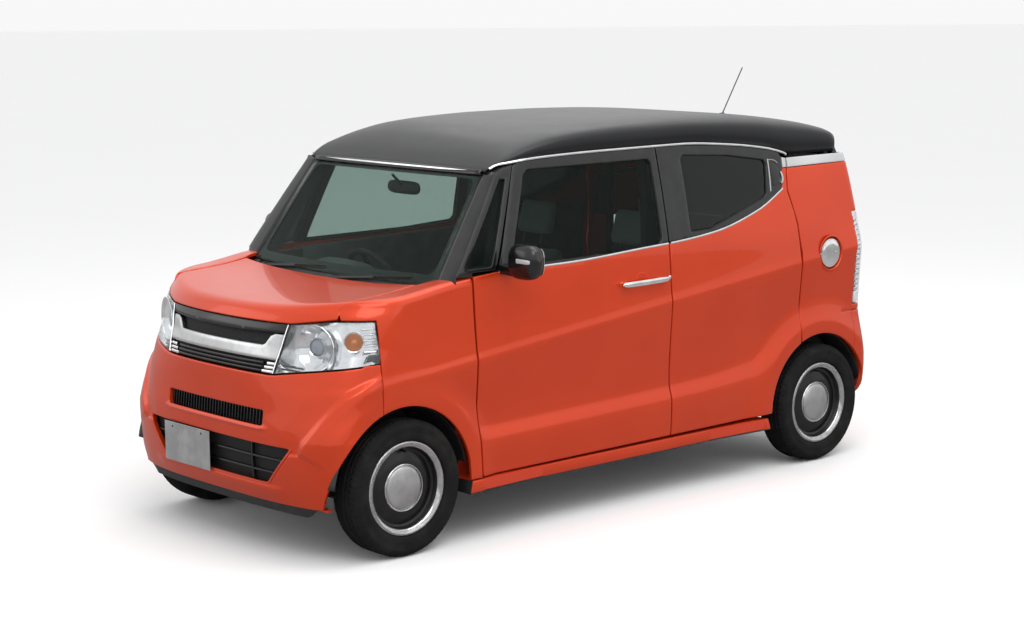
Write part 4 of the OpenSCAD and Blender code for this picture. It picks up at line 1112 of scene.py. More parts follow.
@dataclass(frozen=True)
class Studio:
    """Pale floor, soft lights and the camera."""

    place: tuple[float, float, float] = (7.172, -6.455, 2.281)
    azimuth: float = 48.199
    elevation: float = 8.907
    roll: float = -0.4347
    lens: float = 75.0

    def build(self) -> None:
        """Sets up the world, the floor, the lights and the camera."""
        self._camera()
        self._floor()
        bpy.context.scene.view_settings.view_transform = "Standard"
        world = bpy.data.worlds.new("studio")
        bpy.context.scene.world = world
        world.use_nodes = True
        shade = world.node_tree.nodes["Background"]
        shade.inputs[0].default_value = (1.0, 1.0, 1.0, 1)
        shade.inputs[1].default_value = 0.94
        self._light("key", (4.4, -3.2, 5.4), (0, -0.3, 0.7), (4.5, 3.5), 120)
        self._light("overhead", (1.6, 0.4, 5.6), (0, 0.1, 0.4), (4.0, 5.5), 130)
        self._light("side", (7.2, 2.6, 3.2), (0, 0.3, 0.8), (3.2, 4.5), 22)
        self._light("back", (-5.0, 4.6, 5.6), (0, 0, 0.8), (3.0, 3.0), 20)
        self._light("left_front", (-4.0, -5.4, 2.6), (0, -1.0, 0.7), (3.0, 2.4), 22)

    def _camera(self) -> None:
        """Adds the camera."""
        a, e, r = (math.radians(v) for v in (self.azimuth, self.elevation, self.roll))
        back = Vector((math.sin(a) * math.cos(e), -math.cos(a) * math.cos(e), math.sin(e)))
        right = (-back).cross(Vector((0, 0, 1))).normalized()
        up = right.cross(-back)
        across = right * math.cos(r) + up * math.sin(r)
        rise = up * math.cos(r) - right * math.sin(r)
        data = bpy.data.cameras.new("camera")
        data.lens, data.sensor_width, data.clip_end = self.lens, 36, 100
        camera = bpy.data.objects.new("camera", data)
        turn = Matrix((across, rise, back)).transposed().to_4x4()
        camera.matrix_world = Matrix.Translation(Vector(self.place)) @ turn
        bpy.context.scene.collection.objects.link(camera)
        bpy.context.scene.camera = camera

    def _floor(self) -> None:
        """Adds a flat floor, pale to the camera and dark grey to every other ray."""
        maker = MeshMaker()
        size = 120
        maker.grid(np.array([[(x, y, -0.0005) for x in steps(-size, size, 8)] for y in steps(-size, size, 8)]))
        g = Graph("studio_floor")
        tone = g.noise(0.7, 3)
        grit = g.noise(300, 4)
        # Painted shade: the floor is pale only to camera rays; to every other ray it is dark grey (0.32), so the car's
        # lower panels get darker light and darker reflections from below.
        seen = g.node("ShaderNodeLightPath")
        bright = g.mix(tone * 0.5, (0.95, 0.95, 0.953), (0.92, 0.92, 0.923))
        colour = g.mix(seen, (0.32, 0.315, 0.315), bright)
        material = g.done(g.shader(Base_Color=colour, Roughness=0.75, Normal=g.bump(grit, 0.0002)))
        maker.build("floor", material, scale=1.0)

    def _light(self, name: str, place: Point, target: Point, size: Point, power: float) -> None:
        """Adds one soft rectangular light aimed at a point."""
        data = bpy.data.lights.new(name, "AREA")
        data.shape, data.size, data.size_y, data.energy = "RECTANGLE", size[0], size[1], power
        light = bpy.data.objects.new(name, data)
        light.location = place
        light.rotation_euler = (Vector(target) - Vector(place)).to_track_quat("-Z", "Y").to_euler()
        bpy.context.scene.collection.objects.link(light)


# ---------------------------------------------------------------- shared outlines

NOSE = WrapSurface(End.NOSE)
TAIL = WrapSurface(End.TAIL)
GAP = 9.5
SIDES = ((1, "left"), (-1, "right"))
BELT = [(-1124, 1102), (-977, 1090), (-725, 1101), (-386, 1102), (123, 1124), (246, 1129), (546, 1155), (852, 1229),
        (1018, 1304), (1052, 1322)]


def side_place(y: np.ndarray, z: np.ndarray) -> np.ndarray:
    """Left side surface from side-view coordinates."""
    return np.stack([FORM.side(y, z), y, z], axis=-1)


def rear_place(x: np.ndarray, z: np.ndarray) -> np.ndarray:
    """Tail surface from rear-view coordinates."""
    return np.stack([x, FORM.rear_y(x, z), z], axis=-1)


def belt(y: Any) -> np.ndarray:
    """Height of the belt line."""
    return table_curve(y, BELT)


def door_top(y: Any) -> np.ndarray:
    """Height of the doors' top edge."""
    return FORM.strip(y) + 5 - GAP - 1


def rows(xs: Iterable[float], height: Callable[[Any], np.ndarray], off: float = 0) -> list[tuple[float, float]]:
    """Outline points along a curve of heights."""
    return [(float(x), float(height(x)[0]) + off) for x in xs]


def arc(cy: float, cz: float, r: float, start: float, end: float, count: int = 24) -> list[tuple[float, float]]:
    """Outline points on an arc in degrees."""
    return [(cy + r * math.cos(math.radians(a)), cz + r * math.sin(math.radians(a)))
            for a in steps(start, end, count)]


def arch_angle(arch_y: float, y: float) -> float:
    """Angle on a wheel arch of the point at a place along the car."""
    return math.degrees(math.acos((y - arch_y) / FORM.arch))


def both(half: list[tuple[float, float]]) -> list[tuple[float, float]]:
    """Closed outline from its half on the positive side, given from bottom to top."""
    return half + [(-x, z) for x, z in reversed(half) if abs(x) > 1e-6]


FRONT_WINDOW = rounded([(-688, 1113), (-548, 1478), (-520, 1500), (193, 1500), (208, 1482), (208, 1150), (188, 1130),
                        (-100, 1115)], [14, 20, 10, 22, 10, 20, 10, 0])
REAR_WINDOW = rounded([(393, 1165), (393, 1488), (412, 1504), (700, 1486), (936, 1452), (948, 1432), (925, 1300),
                       (900, 1280), (520, 1168)], [16, 14, 10, 60, 14, 10, 18, 12, 60])
QUARTER_LIGHT = rounded([(-935, 1124), (-790, 1124), (-650, 1470), (-684, 1470)], [14, 22, 8, 8])
PILLAR_FRONT = [(1098, -984), (1490, -704)]


@dataclass
class Doors:
    """The four side doors: painted skins, black window frames, glass, linings, handles and mirrors."""

    finishes: Finishes
    grow: float = 1.6
    frame_step: float = 16

    def build(self) -> None:
        """Builds every door."""
        for side, word in SIDES:
            self._front(side, word)
            self._rear(side, word)
            self._mirror(side, word)

    def _front(self, side: int, word: str) -> None:
        """Builds a front door."""
        body = f"{word}_front_door"
        f = self.finishes
        ys = [-700, -500, -300, -100, 50, 160]
        skin = [(-858, 268), (-871, 520), (-879, 760), (-885, 930), (-889, 1091)] + [(-757, 1100)] \
            + rows(ys, belt, -1) + [(243.3, 1127), (243.5, 1040), (251, 273)]
        maker = MeshMaker()
        maker.panel(side_place, inset(ccw(rounded(skin, [10, 0, 0, 0, 5, 0] + [0] * 6 + [3, 0, 8])), -self.grow),
                    step=13, thick=22, roll=4)
        keep(maker.build(f"{body}_skin", f.paint, side), body, [body])
        top = [-560, -400, -240, -90, 60, 160]
        frame_line = [(-754, 1103), (-596, float(door_top(-596)[0]) - 8)] + rows(top, door_top) \
            + [(243.3, float(door_top(243)[0])), (243.3, 1130)] + rows(reversed(ys), belt, 2)
        maker = MeshMaker()
        maker.panel(side_place, inset(ccw(np.array(frame_line)), -self.grow), [FRONT_WINDOW], step=self.frame_step,
                    thick=26, roll=3, lift=-1.5)
        keep(maker.build(f"{body}_frame", f.gloss, side), body)
        self._glass(side, word, "front", FRONT_WINDOW, f.clear)
        self._belt_strip(side, body, [-752, *steps(-700, 160, 12), 240])
        self._lining(side, body, [(-774, 292), (-774, 1078), (200, 1100), (206, 296)], (-620, 120), 760)
        self._handle(side, body, -72, 218, 980)

    def _rear(self, side: int, word: str) -> None:
        """Builds a rear door."""
        body = f"{word}_rear_door"
        f = self.finishes
        arch_y = FORM.rear_axle - 15
        lip = arc(arch_y, FORM.arch_z, FORM.arch + 1, arch_angle(arch_y, 1114), 178.6)
        ys = [252.8, 330, 430, 546, 650, 750, 852, 940, 1018]
        skin = [(260.8, 273), (252.8, 1050)] + rows(ys, belt, -1) + [(1040, 1326), (1052, 1370), (1056, 1403)] \
            + [(1080, 1404), (1072, 1385), (1062, 1300), (1092, 1200), (1104, 1142), (1111, 1040), (1113, 926),
               (1112, 766)] + lip + [(912, 279), (700, 275)]
        maker = MeshMaker()
        maker.panel(side_place, inset(ccw(np.array(skin)), -self.grow), step=13, thick=22, roll=4)
        keep(maker.build(f"{body}_skin", f.paint, side), body, [body])
        tops = [1040, 985, 860, 725, 600, 400, 300]
        frame_line = rows(ys, belt, 2) + [(1036, 1329), (1048, 1370), (1052, 1406), (1058, 1456)] \
            + rows(tops, door_top) + [(252.8, float(door_top(258)[0]))]
        maker = MeshMaker()
        maker.panel(side_place, inset(ccw(np.array(frame_line)), -self.grow), [REAR_WINDOW], step=self.frame_step,
                    thick=26, roll=3, lift=-1.5)
        keep(maker.build(f"{body}_frame", f.gloss, side), body)
        maker = MeshMaker()
        maker.panel(side_place, [(1060, 1408), (1081, 1409), (1087, 1450), (1062, 1455)], step=14, thick=14, roll=2,
                    lift=-0.5)
        keep(maker.build(f"{body}_corner", f.silver, side), body)
        self._glass(side, word, "rear", REAR_WINDOW, f.privacy)
        self._belt_strip(side, body, [257, *steps(300, 1018, 14), 1034])
        self._lining(side, body, [(370, 300), (370, 1120), (700, 1150), (1040, 1150), (1050, 800), (880, 590),
                                  (800, 310)], (430, 900), 820)
        self._hidden_handle(side, body)

    def _glass(self, side: int, word: str, end: str, window: np.ndarray, finish: bpy.types.Material) -> None:
        """Builds a door's glass with its rubber seal."""
        body = f"{word}_{end}_door"
        maker = MeshMaker()
        maker.panel(side_place, inset(ccw(window), -4), step=40, thick=4, roll=1, lift=-10)
        keep(maker.build(f"{body}_glass", finish, side), body,
             [f"{word}_{end}_glass"])
        maker = MeshMaker()
        loop = ccw(dense(window, 16))
        path = side_place(loop[:, 0], loop[:, 1]) - (8.5, 0, 0)
        maker.sweep(path, [(-3, -3), (2, -3), (3, 0), (2, 3), (-3, 3)], (1, 0, 0), closed=True)
        keep(maker.build(f"{body}_seal", self.finishes.rubber, side), body)

    def _belt_strip(self, side: int, body: str, ys: Sequence[float]) -> None:
        """Builds the bright strip along the belt line of a door."""
        y = np.array(ys)
        z = belt(y) + 1
        maker = MeshMaker()
        maker.sweep(side_place(y, z), [(-6, -4.5), (1.6, -4), (3.2, 0), (1.6, 4), (-6, 4.5)], (1, 0, 0.12))
        keep(maker.build(f"{body}_belt_strip", self.finishes.chrome, side), body)

    def _lining(self, side: int, body: str, outline: list[tuple[float, float]], rest: tuple[float, float],
                height: float) -> None:
        """Builds a door's inner lining with an armrest."""
        maker = MeshMaker()

        def inner(y: np.ndarray, z: np.ndarray) -> np.ndarray:
            """Surface of the lining, facing the cabin."""
            return np.stack([np.minimum(FORM.side(y, z), 733) - 56, y, z], axis=-1)

        maker.panel(inner, rounded(outline, 26), step=40, thick=30, roll=6, flip=True)
        y0, y1 = rest
        x = 733 - 56
        maker.box((x - 44, y0, height - 26), (x + 4, y1, height + 8), 12)
        maker.box((x - 8, y0 + 20, 380), (x + 4, y1 - 20, 470), 6)
        keep(maker.build(f"{body}_lining", self.finishes.dash, side), body)

    def _handle(self, side: int, body: str, y0: float, y1: float, z: float) -> None:
        """Builds a bright pull handle with its cup and lock."""
        f = self.finishes
        face = float(FORM.side((y0 + y1) / 2, z)[0])
        maker = MeshMaker()
        ts = steps(0, 1, 28)
        ends = np.sqrt(np.clip(1 - np.abs(2 * ts - 1) ** 7, 0, 1))
        bow = 1 - (2 * ts - 1) ** 2
        angle = np.linspace(0, 2 * math.pi, 20, endpoint=False)
        points = []
        for t, e, b in zip(ts, ends, bow):
            x = face + 23 + 7 * b
            a, h = 8 * e + 0.1, 12.5 * e + 0.1
            points.append([(x + a * math.copysign(abs(math.cos(q)) ** 0.7, math.cos(q)), y0 + (y1 - y0) * t,
                            z + 3 * (t - 0.5) + h * math.copysign(abs(math.sin(q)) ** 0.7, math.sin(q)))
                           for q in angle])
        maker.grid(np.array(points), wrap_v=True)
        for y in (y0 + 32, y1 - 34):
            maker.box((face - 4, y - 15, z - 9), (face + 24, y + 15, z + 9), 6)
        keep(maker.build(f"{body}_handle", f.chrome, side), body)
        maker = MeshMaker()
        maker.lathe([(0.5, 0.8), (34, 0.8), (40, 1.6), (43, 0.8), (43, -6), (0.5, -6)],
                    (face - 0.2, (y0 + y1) / 2 - 8, z - 2), count=40)
        cup = maker.build(f"{body}_handle_cup", f.paint, side)
        keep(cup, body)
        maker = MeshMaker()
        maker.lathe([(0.5, 3.2), (7, 3.2), (9, 2), (9, -4), (0.5, -4)], (face, y1 + 20, z + 2), count=28)
        keep(maker.build(f"{body}_lock", f.chrome, side), body)

    def _hidden_handle(self, side: int, body: str) -> None:
        """Builds the dark corner behind a rear window with its divider, accent and pull."""
        f = self.finishes
        maker = MeshMaker()
        z = np.array([1306, 1360, 1410, 1452])
        y = np.array([950, 956, 960, 962.0])
        maker.sweep(side_place(y, z) - (3, 0, 0), [(-3, -3.5), (3.4, -3.5), (3.4, 3.5), (-3, 3.5)], (1, 0, 0))
        keep(maker.build(f"{body}_divider", f.satin, side), body)
        maker = MeshMaker()
        y = np.array([966, 985, 1005, 1024.0])
        z = np.array([1449, 1449, 1444, 1432.0])
        maker.sweep(side_place(y, z), [(-3, -2.5), (2.2, -2), (2.2, 2), (-3, 2.5)], (1, 0, 0))
        y = np.array([1036, 1042, 1043, 1038, 1028.0])
        z = np.array([1392, 1374, 1358, 1346, 1338.0])
        maker.sweep(side_place(y, z), [(-4, -5), (3, -4.5), (4.5, 0), (3, 4.5), (-4, 5)], (1, 0, 0))
        keep(maker.build(f"{body}_pull", f.satin, side), body)
        maker = MeshMaker()
        maker.panel(side_place, rounded([(972, 1322), (972, 1436), (1022, 1418), (1032, 1352)], [10, 12, 16, 16]),
                    step=14, thick=6, roll=3, lift=1.0)
        keep(maker.build(f"{body}_corner_cover", f.gloss, side), body)

    def _mirror(self, side: int, word: str) -> None:
        """Builds a door mirror."""
        body = f"{word}_front_door"
        f = self.finishes
        maker = MeshMaker()
        angle = np.linspace(0, 2 * math.pi, 40, endpoint=False)
        sections = []
        for t in steps(0, 1, 26):
            swell = (1 - abs(2 * t - 1) ** 3.2) ** 0.42
            x = 765 + 167 * t
            b = 26 + 47 * swell if t < 0.5 else 5 + 68 * swell
            a = 4 + 38 * swell
            cz = 1150 + 3 * t
            cy = -727 + 4 * t
            row = []
            for q in angle:
                c, s = math.cos(q), math.sin(q)
                yy = cy + a * math.copysign(abs(c) ** 0.75, c)
                row.append((x, max(yy, -768) if c < 0 else min(yy, -687), cz + b * math.copysign(abs(s) ** 0.72, s)))
            sections.append(row)
        ids = maker.grid(np.array(sections), wrap_v=True)
        maker.cap(ids[0][::-1])
        maker.cap(ids[-1])
        face = float(FORM.side(-715, 1095)[0])
        foot = [(face - 6, -752, 1096), (face - 6, -676, 1096), (face - 6, -676, 1132), (face - 6, -752, 1132)]
        tip = [(812, -738, 1084), (812, -694, 1084), (812, -694, 1112), (812, -738, 1112)]
        a, b = maker.add(foot), maker.add(tip)
        maker.strip(a, b)
        maker.cap(a[::-1])
        maker.cap(b)
        keep(maker.build(f"{word}_mirror_housing", f.gloss, side), body, [f"{word}_mirror"])
        maker = MeshMaker()
        glass = np.array([(790 + 128 * (0.5 + 0.5 * math.copysign(abs(math.cos(q)) ** 0.5, math.cos(q))), -685.5,
                           1151 + 58 * math.copysign(abs(math.sin(q)) ** 0.55, math.sin(q))) for q in angle])
        ring = maker.add(glass)
        back = maker.add(glass * (1, 1, 1) + (0, -3, 0))
        maker.strip(ring, back)
        maker.cap(ring)
        keep(maker.build(f"{word}_mirror_face", f.mirror_glass, side), body)
        maker = MeshMaker()
        rows_ = []
        for t in steps(0, 1, 12):
            x = 838 + 90 * t
            cy = -766.5 + 2 * t + 32 * t**6
            rows_.append([(x, cy, 1168 - 3 * t), (x, cy - 2.4, 1165 - 3 * t), (x, cy - 2.4, 1151), (x, cy, 1148)])
        maker.grid(np.array(rows_))
        keep(maker.build(f"{word}_mirror_indicator", f.silver, side), body)


@dataclass
class SidePanels:
    """Front fenders, rear quarters, sills, arch liners and the bright roof strips."""

    finishes: Finishes
    crest_radius: float = 26

    def build(self) -> None:
        """Builds the fixed side panels."""
        self._fenders()
        self._quarters()
        self._sills()
        self._liners()
        self._roof_strips()
        self._fuel_lid()

    def _fenders(self) -> None:
        """Builds the front fenders from the arch over the crest to the hood's edge."""
        r = self.crest_radius
        bend = r * math.pi / 2

        def place(y: np.ndarray, w: np.ndarray) -> np.ndarray:
            """Fender surface; w runs up the side, round the crest and inwards."""
            crest = FORM.crest(y)
            low_z = crest - r + np.minimum(w, 0)
            side = FORM.side(y, low_z)
            at_bend = FORM.side(y, crest - r)
            turn = np.clip(w, 0, bend) / bend * math.pi / 2
            over = np.maximum(w - bend, 0)
            x = np.where(w <= 0, side, at_bend - r + r * np.cos(turn) - over)
            top = FORM.hood(np.minimum(np.abs(x), 620), y) - FORM.crest(y)
            z = np.where(w <= 0, low_z, crest - r + r * np.sin(turn) + np.where(over > 0, top, 0))
            return np.stack([x, y, z], axis=-1)

        def w_of(y: float, z: float) -> tuple[float, float]:
            """Flat coordinates of a point on the side at a height."""
            return y, z - (float(FORM.crest(y)[0]) - r)

        def inner(y: float) -> tuple[float, float]:
            """Flat coordinates of the fender's inner top edge."""
            x = float(table_curve(y, [(-1090, 601), (-1009, 632)])[0])
            side = float(FORM.side(y, float(FORM.crest(y)[0]) - r)[0])
            return y, bend + max(side - r - x, -bend * 0.8)

        arch_y = FORM.front_axle - 15
        lip = arc(arch_y, FORM.arch_z, FORM.arch + 1, 12, arch_angle(arch_y, -1376), 30)
        outline = [w_of(-868, 264), w_of(-880, 520), w_of(-888, 760), w_of(-896, 930), w_of(-898.5, 1030),
                   (-898.5, 0), (-900, bend * 0.9), (-984, bend * 0.96), inner(-990), inner(-1040), inner(-1090),
                   inner(-1154), inner(-1228), inner(-1300), inner(-1382), inner(-1440), inner(-1474),
                   w_of(-1482, 969), w_of(-1430, 968), w_of(-1378, 968), w_of(-1376, 900), w_of(-1376, 760)] \
            + [w_of(y, z) for y, z in reversed(lip)] + [w_of(-929, 300), w_of(-927, 264)]
        maker = MeshMaker()
        maker.panel(place, rounded(outline, 0), step=13, thick=14, roll=3.5)
        maker.mirror()
        keep(maker.build("fender_skins", self.finishes.paint), "body", ["front_fenders"])

    def _quarters(self) -> None:
        """Builds the rear quarters, round the corners as far as the tailgate."""
        arch_y = FORM.rear_axle - 15
        edge = [(720, 607.5), (950, 605), (1180, 601.5), (1430, 593.5)]

        def gate(z: float) -> tuple[float, float]:
            """Edge beside the tailgate at a height."""
            return TAIL.at_x(float(table_curve(z, edge)[0]), z)

        at = TAIL.at_y
        lip = arc(arch_y, FORM.arch_z, FORM.arch + 1, arch_angle(arch_y, 1124), arch_angle(arch_y, 1499), 26)
        outline = [at(1092, 1405), at(1081.5, 1385), at(1071.5, 1302), at(1092, 1225), at(1113.5, 1142),
                   at(1120.5, 1040), at(1122.5, 926), at(1121.5, 766)] + [at(y, z) for y, z in lip] \
            + [at(1499.6, 600), at(1499.6, 700.5)] + [TAIL.at_x(x, 700.5) for x in (725, 715, 690, 650)] \
            + [gate(701), gate(725.5)] + [TAIL.at_x(x, 725.5) for x in (650, 690)] + [at(1510, 725.5)] \
            + [at(1509, 950), at(1507, 1173.5)] + [TAIL.at_x(x, 1173.5) for x in (690, 650)] + [gate(1173.5)] \
            + [gate(z) for z in (1240, 1320, 1408)] + [TAIL.at_x(x, 1409) for x in (610, 640)] \
            + [at(1500, 1409), at(1300, 1407)]
        hole = [at(y, z) for y, z in arc(1324, 992, 78.5, 0, 348, 29)]
        maker = MeshMaker()
        maker.panel(TAIL, outline, [hole], step=13, thick=20, roll=3.5, flip=True)
        maker.mirror()
        keep(maker.build("quarter_skins", self.finishes.paint), "body", ["quarter_panels"])
        silver = [at(1094, 1408), at(1096, 1451)] + [at(y, 1452) for y in (1200, 1350, 1480)] \
            + [TAIL.at_x(x, 1452) for x in (640, 615)] + [gate(1452), gate(1411)] \
            + [TAIL.at_x(x, 1411) for x in (615, 640)] + [at(1500, 1411), at(1300, 1410)]
        maker = MeshMaker()
        maker.panel(TAIL, silver, step=16, thick=14, roll=3, flip=True, lift=-0.5)
        maker.mirror()
        keep(maker.build("quarter_strips", self.finishes.silver), "body")
        face = float(FORM.side(1324, 992)[0])
        maker = MeshMaker()
        maker.lathe([(86, -1.5), (83, 0.6), (79, 0.4), (76.5, -3), (76.5, -26), (1, -26)], (face, 1324, 992), count=72)
        keep(maker.build("fuel_recess", self.finishes.paint), "body")

    def _sills(self) -> None:
        """Builds the painted sills under the doors."""
        outline = [(-934, 207), (-922, 258.5), (876, 258.5), (903, 207)]
        maker = MeshMaker()
        maker.panel(side_place, outline, step=22, thick=30, roll=5, lift=0.8)
        maker.mirror()
        keep(maker.build("sill_covers", self.finishes.paint), "body")

    def _liners(self) -> None:
        """Builds the black liners inside the wheel arches."""
        maker = MeshMaker()
        for axle, start, end in ((FORM.front_axle - 15, 10, 172), (FORM.rear_axle - 15, 12, 168)):
            points = []
            inner_x = 426 if axle < 0 else 562
            for x in (inner_x, 610, 690, 704):
                r = FORM.arch + (4 if x < 700 else 1)
                points.append([(x, y, z) for y, z in arc(axle, FORM.arch_z, r, start, end, 44)])
            outer = np.array(points)
            shell = np.concatenate([outer, outer[::-1] + (0, 0, 0)])
            shell[4:, :, 1] = axle + (shell[4:, :, 1] - axle) * 0.994
            shell[4:, :, 2] = FORM.arch_z + (shell[4:, :, 2] - FORM.arch_z) * 0.994
            maker.grid(shell[:4])
        maker.mirror()
        piece = maker.build("arch_liners", self.finishes.trim)
        solidify = piece.modifiers.new("thickness", "SOLIDIFY")
        solidify.thickness = 0.002
        solidify.offset = -1
        keep(piece, "body")

    def _roof_strips(self) -> None:
        """Builds the bright strips between the roof and the doors, along both sides."""
        y = np.concatenate([[-700, -680, -660, -600], np.arange(-520, 1060, 60), [1075, 1088, 1094]])
        z = FORM.strip(y) + 1.5
        z[-2:] -= (2, 6)
        x = np.minimum(FORM.side(y, z), table_curve(y, [(-715, 598), (-640, 622), (-560, 650)]))
        maker = MeshMaker()
        path = np.stack([x, y, z], axis=1)
        maker.sweep(path, [(-8, -5), (2, -4.5), (4, 0), (2, 4.5), (-8, 5)], (1, 0, 0.2))
        maker.mirror()
        keep(maker.build("roof_strips", self.finishes.chrome), "body")

    def _fuel_lid(self) -> None:
        """Builds the bright fuel lid."""
        face = float(FORM.side(1324, 992)[0])
        maker = MeshMaker()
        maker.lathe([(0.5, 1.2), (20, 0.9), (44, -0.6), (58, -2.4), (61, -3.8), (63, -3.4), (67, -4.6), (68.5, -8),
                     (66, -14), (0.5, -14)], (face, 1324, 992), count=80)
        maker.box((face - 11, 1254.5, 987.5), (face - 4, 1268, 996.5), 1.5)
        maker.rod((face - 7.2, 1254.5, 987.5), (face - 7.2, 1254.5, 996.5), 4.4)
        maker.box((face - 1, 1352, 986), (face + 3.2, 1366, 998), 2)
        keep(maker.build("fuel_lid_cover", self.finishes.chrome), "fuel_lid", ["fuel_lid"])


@dataclass
class Greenhouse:
    """Roof, windscreen, pillars, quarter lights, wipers, cowl and antenna."""

    finishes: Finishes
    screen_top: float = 1488

    def build(self) -> None:
        """Builds the upper body."""
        self._roof()
        self._screen()
        self._pillars()
        self._cowl()
        self._antenna()

    def _roof(self) -> None:
        """Builds the black roof and its lining."""
        half_angles = np.concatenate([steps(90, 60, 16), steps(58, 4, 20), [2.4, 1.2, 0.5, 0.1]])
        angles = np.concatenate([-half_angles, half_angles[::-1]])
        ys = np.concatenate([[-715, -714, -711, -705], steps(-695, 1480, 72), [1490, 1496, 1499, 1500]])
        grid = np.array([FORM.roof(np.full(len(angles), y), angles) for y in ys])
        for i, drop in ((0, 6), (1, 3), (2, 1)):
            grid[i, :, 2] -= drop
        for i, drop in ((-1, 6), (-2, 3), (-3, 1)):
            grid[i, :, 2] -= drop
        maker = MeshMaker()
        maker.grid(grid)
        piece = maker.build("roof_skin", self.finishes.roof)
        solidify = piece.modifiers.new("thickness", "SOLIDIFY")
        solidify.thickness, solidify.offset = 0.012, -1
        keep(piece, "body", ["roof_panel"])
        inner = grid[6:-6, 4:-4].copy()
        inner[:, :, 2] -= 42
        inner[:, :, 0] *= 0.93
        maker = MeshMaker()
        maker.grid(inner[:, ::-1])
        piece = maker.build("roof_lining", self.finishes.lining)
        solidify = piece.modifiers.new("thickness", "SOLIDIFY")
        solidify.thickness, solidify.offset = 0.004, 0
        keep(piece, "body")

    def _half(self, z: Any) -> np.ndarray:
        """Half width of the windscreen at a height."""
        return 620 - 54 * (np.asarray(z, float) - 1060) / 440

    def _screen_grid(self, z0: float, z1: float, share: float = 1, lift: float = 0) -> np.ndarray:
        """Grid of points on the windscreen between two heights."""
        zs, ts = steps(z0, z1, 16), steps(-1, 1, 30)
        return np.array([[(t * float(self._half(z)) * share, float(FORM.screen(np.array([t * float(self._half(z))
                         * share]), np.array([z]))[0]) - lift, z) for t in ts] for z in zs])

    def _screen(self) -> None:
        """Builds the windscreen, its dark border and its bright header strip."""
        f = self.finishes
        maker = MeshMaker()
        maker.grid(self._screen_grid(1060, self.screen_top))
        piece = maker.build("windscreen", f.screen)
        solidify = piece.modifiers.new("thickness", "SOLIDIFY")
        solidify.thickness, solidify.offset = 0.005, -1
        maker = MeshMaker()
        maker.panel(side_place, inset(ccw(QUARTER_LIGHT), -3), step=30, thick=4, roll=1, lift=-9)
        maker.mirror()
        lights = maker.build("quarter_lights", f.clear)
        keep(piece, "body", ["fixed_glass"])
        keep(lights, "body")
        maker = MeshMaker()

        def on_screen(x: np.ndarray, z: np.ndarray) -> np.ndarray:
            """Inner face of the windscreen from front-view coordinates."""
            return np.stack([x, FORM.screen(x, z) + 7, z], axis=-1)

        half = self._half
        outer = [(-float(half(1061)), 1061), (float(half(1061)), 1061), (float(half(1487)), 1487),
                 (-float(half(1487)), 1487)]
        hole = rounded([(-588, 1098), (588, 1098), (544, 1468), (-544, 1468)], [40, 40, 50, 50])
        maker.panel(on_screen, outer, [hole], step=24, thick=2, roll=0.5)
        keep(maker.build("screen_border", f.gloss), "body")
        x = steps(-566, 566, 30)
        z = np.full_like(x, self.screen_top + 10)
        y = FORM.screen(x, z) - 5
        maker = MeshMaker()
        maker.sweep(np.stack([x, y, z], axis=1), [(-6, -4), (2, -4), (4, 0), (2, 4), (-6, 4)], (0, -0.75, 0.66))
        keep(maker.build("header_strip", f.chrome), "body")
        self._header(x)

    def _header(self, x: np.ndarray) -> None:
        """Builds the black header between the windscreen and the roof's front edge."""
        rows_ = []
        roof = FORM.roof(np.full(len(x), -712.0), np.degrees(np.arcsin(np.clip(np.abs(x) / 595, 0, 0.995) ** 3)))
        for t in steps(0, 1, 5):
            z = self.screen_top - 4 + (roof[:, 2] - 3 - self.screen_top + 4) * t
            y0 = FORM.screen(x, np.full_like(x, self.screen_top - 4)) + 1
            y = y0 + (-708 - y0) * t - 3 * math.sin(math.pi * t)
            rows_.append(np.stack([x, y, z], axis=1))
        maker = MeshMaker()
        maker.grid(np.array(rows_))
        piece = maker.build("screen_header", self.finishes.gloss)
        solidify = piece.modifiers.new("thickness", "SOLIDIFY")
        solidify.thickness, solidify.offset = 0.004, 1
        keep(piece, "body")

    def _pillars(self) -> None:
        """Builds the black windscreen pillars and the frames of the quarter lights."""
        f = self.finishes
        maker = MeshMaker()
        grid = []
        for z in steps(1066, 1500, 24):
            zz = np.array([z])
            edge_x = float(self._half(z)) + 2
            edge = np.array([edge_x, float(FORM.screen(np.array([edge_x]), zz)[0]) + 1, z])
            yp = float(np.interp(z, [p[0] for p in PILLAR_FRONT], [p[1] for p in PILLAR_FRONT]))
            out = np.array([float(FORM.side(yp, z)[0]) - 1, yp, z])
            knee = np.array([out[0] - 2, edge[1] + 0.15 * (out[1] - edge[1]), z])
            grid.append([(1 - t) ** 2 * edge + 2 * t * (1 - t) * knee + t**2 * out for t in steps(0, 1, 8)])
        maker.grid(np.array(grid))
        maker.mirror()
        piece = maker.build("screen_pillars", f.gloss)
        solidify = piece.modifiers.new("thickness", "SOLIDIFY")
        solidify.thickness, solidify.offset = 0.004, -1
        keep(piece, "body")
        maker = MeshMaker()
        frame_line = [(-986, 1099), (-899, 1099), (-895, 1110), (-768, 1111), (-602, 1522), (-655, 1510),
                      (-704, 1488)]
        maker.panel(side_place, frame_line, [QUARTER_LIGHT], step=16, thick=20, roll=3, lift=0.6)
        maker.mirror()
        keep(maker.build("quarter_light_frames", f.gloss), "body")

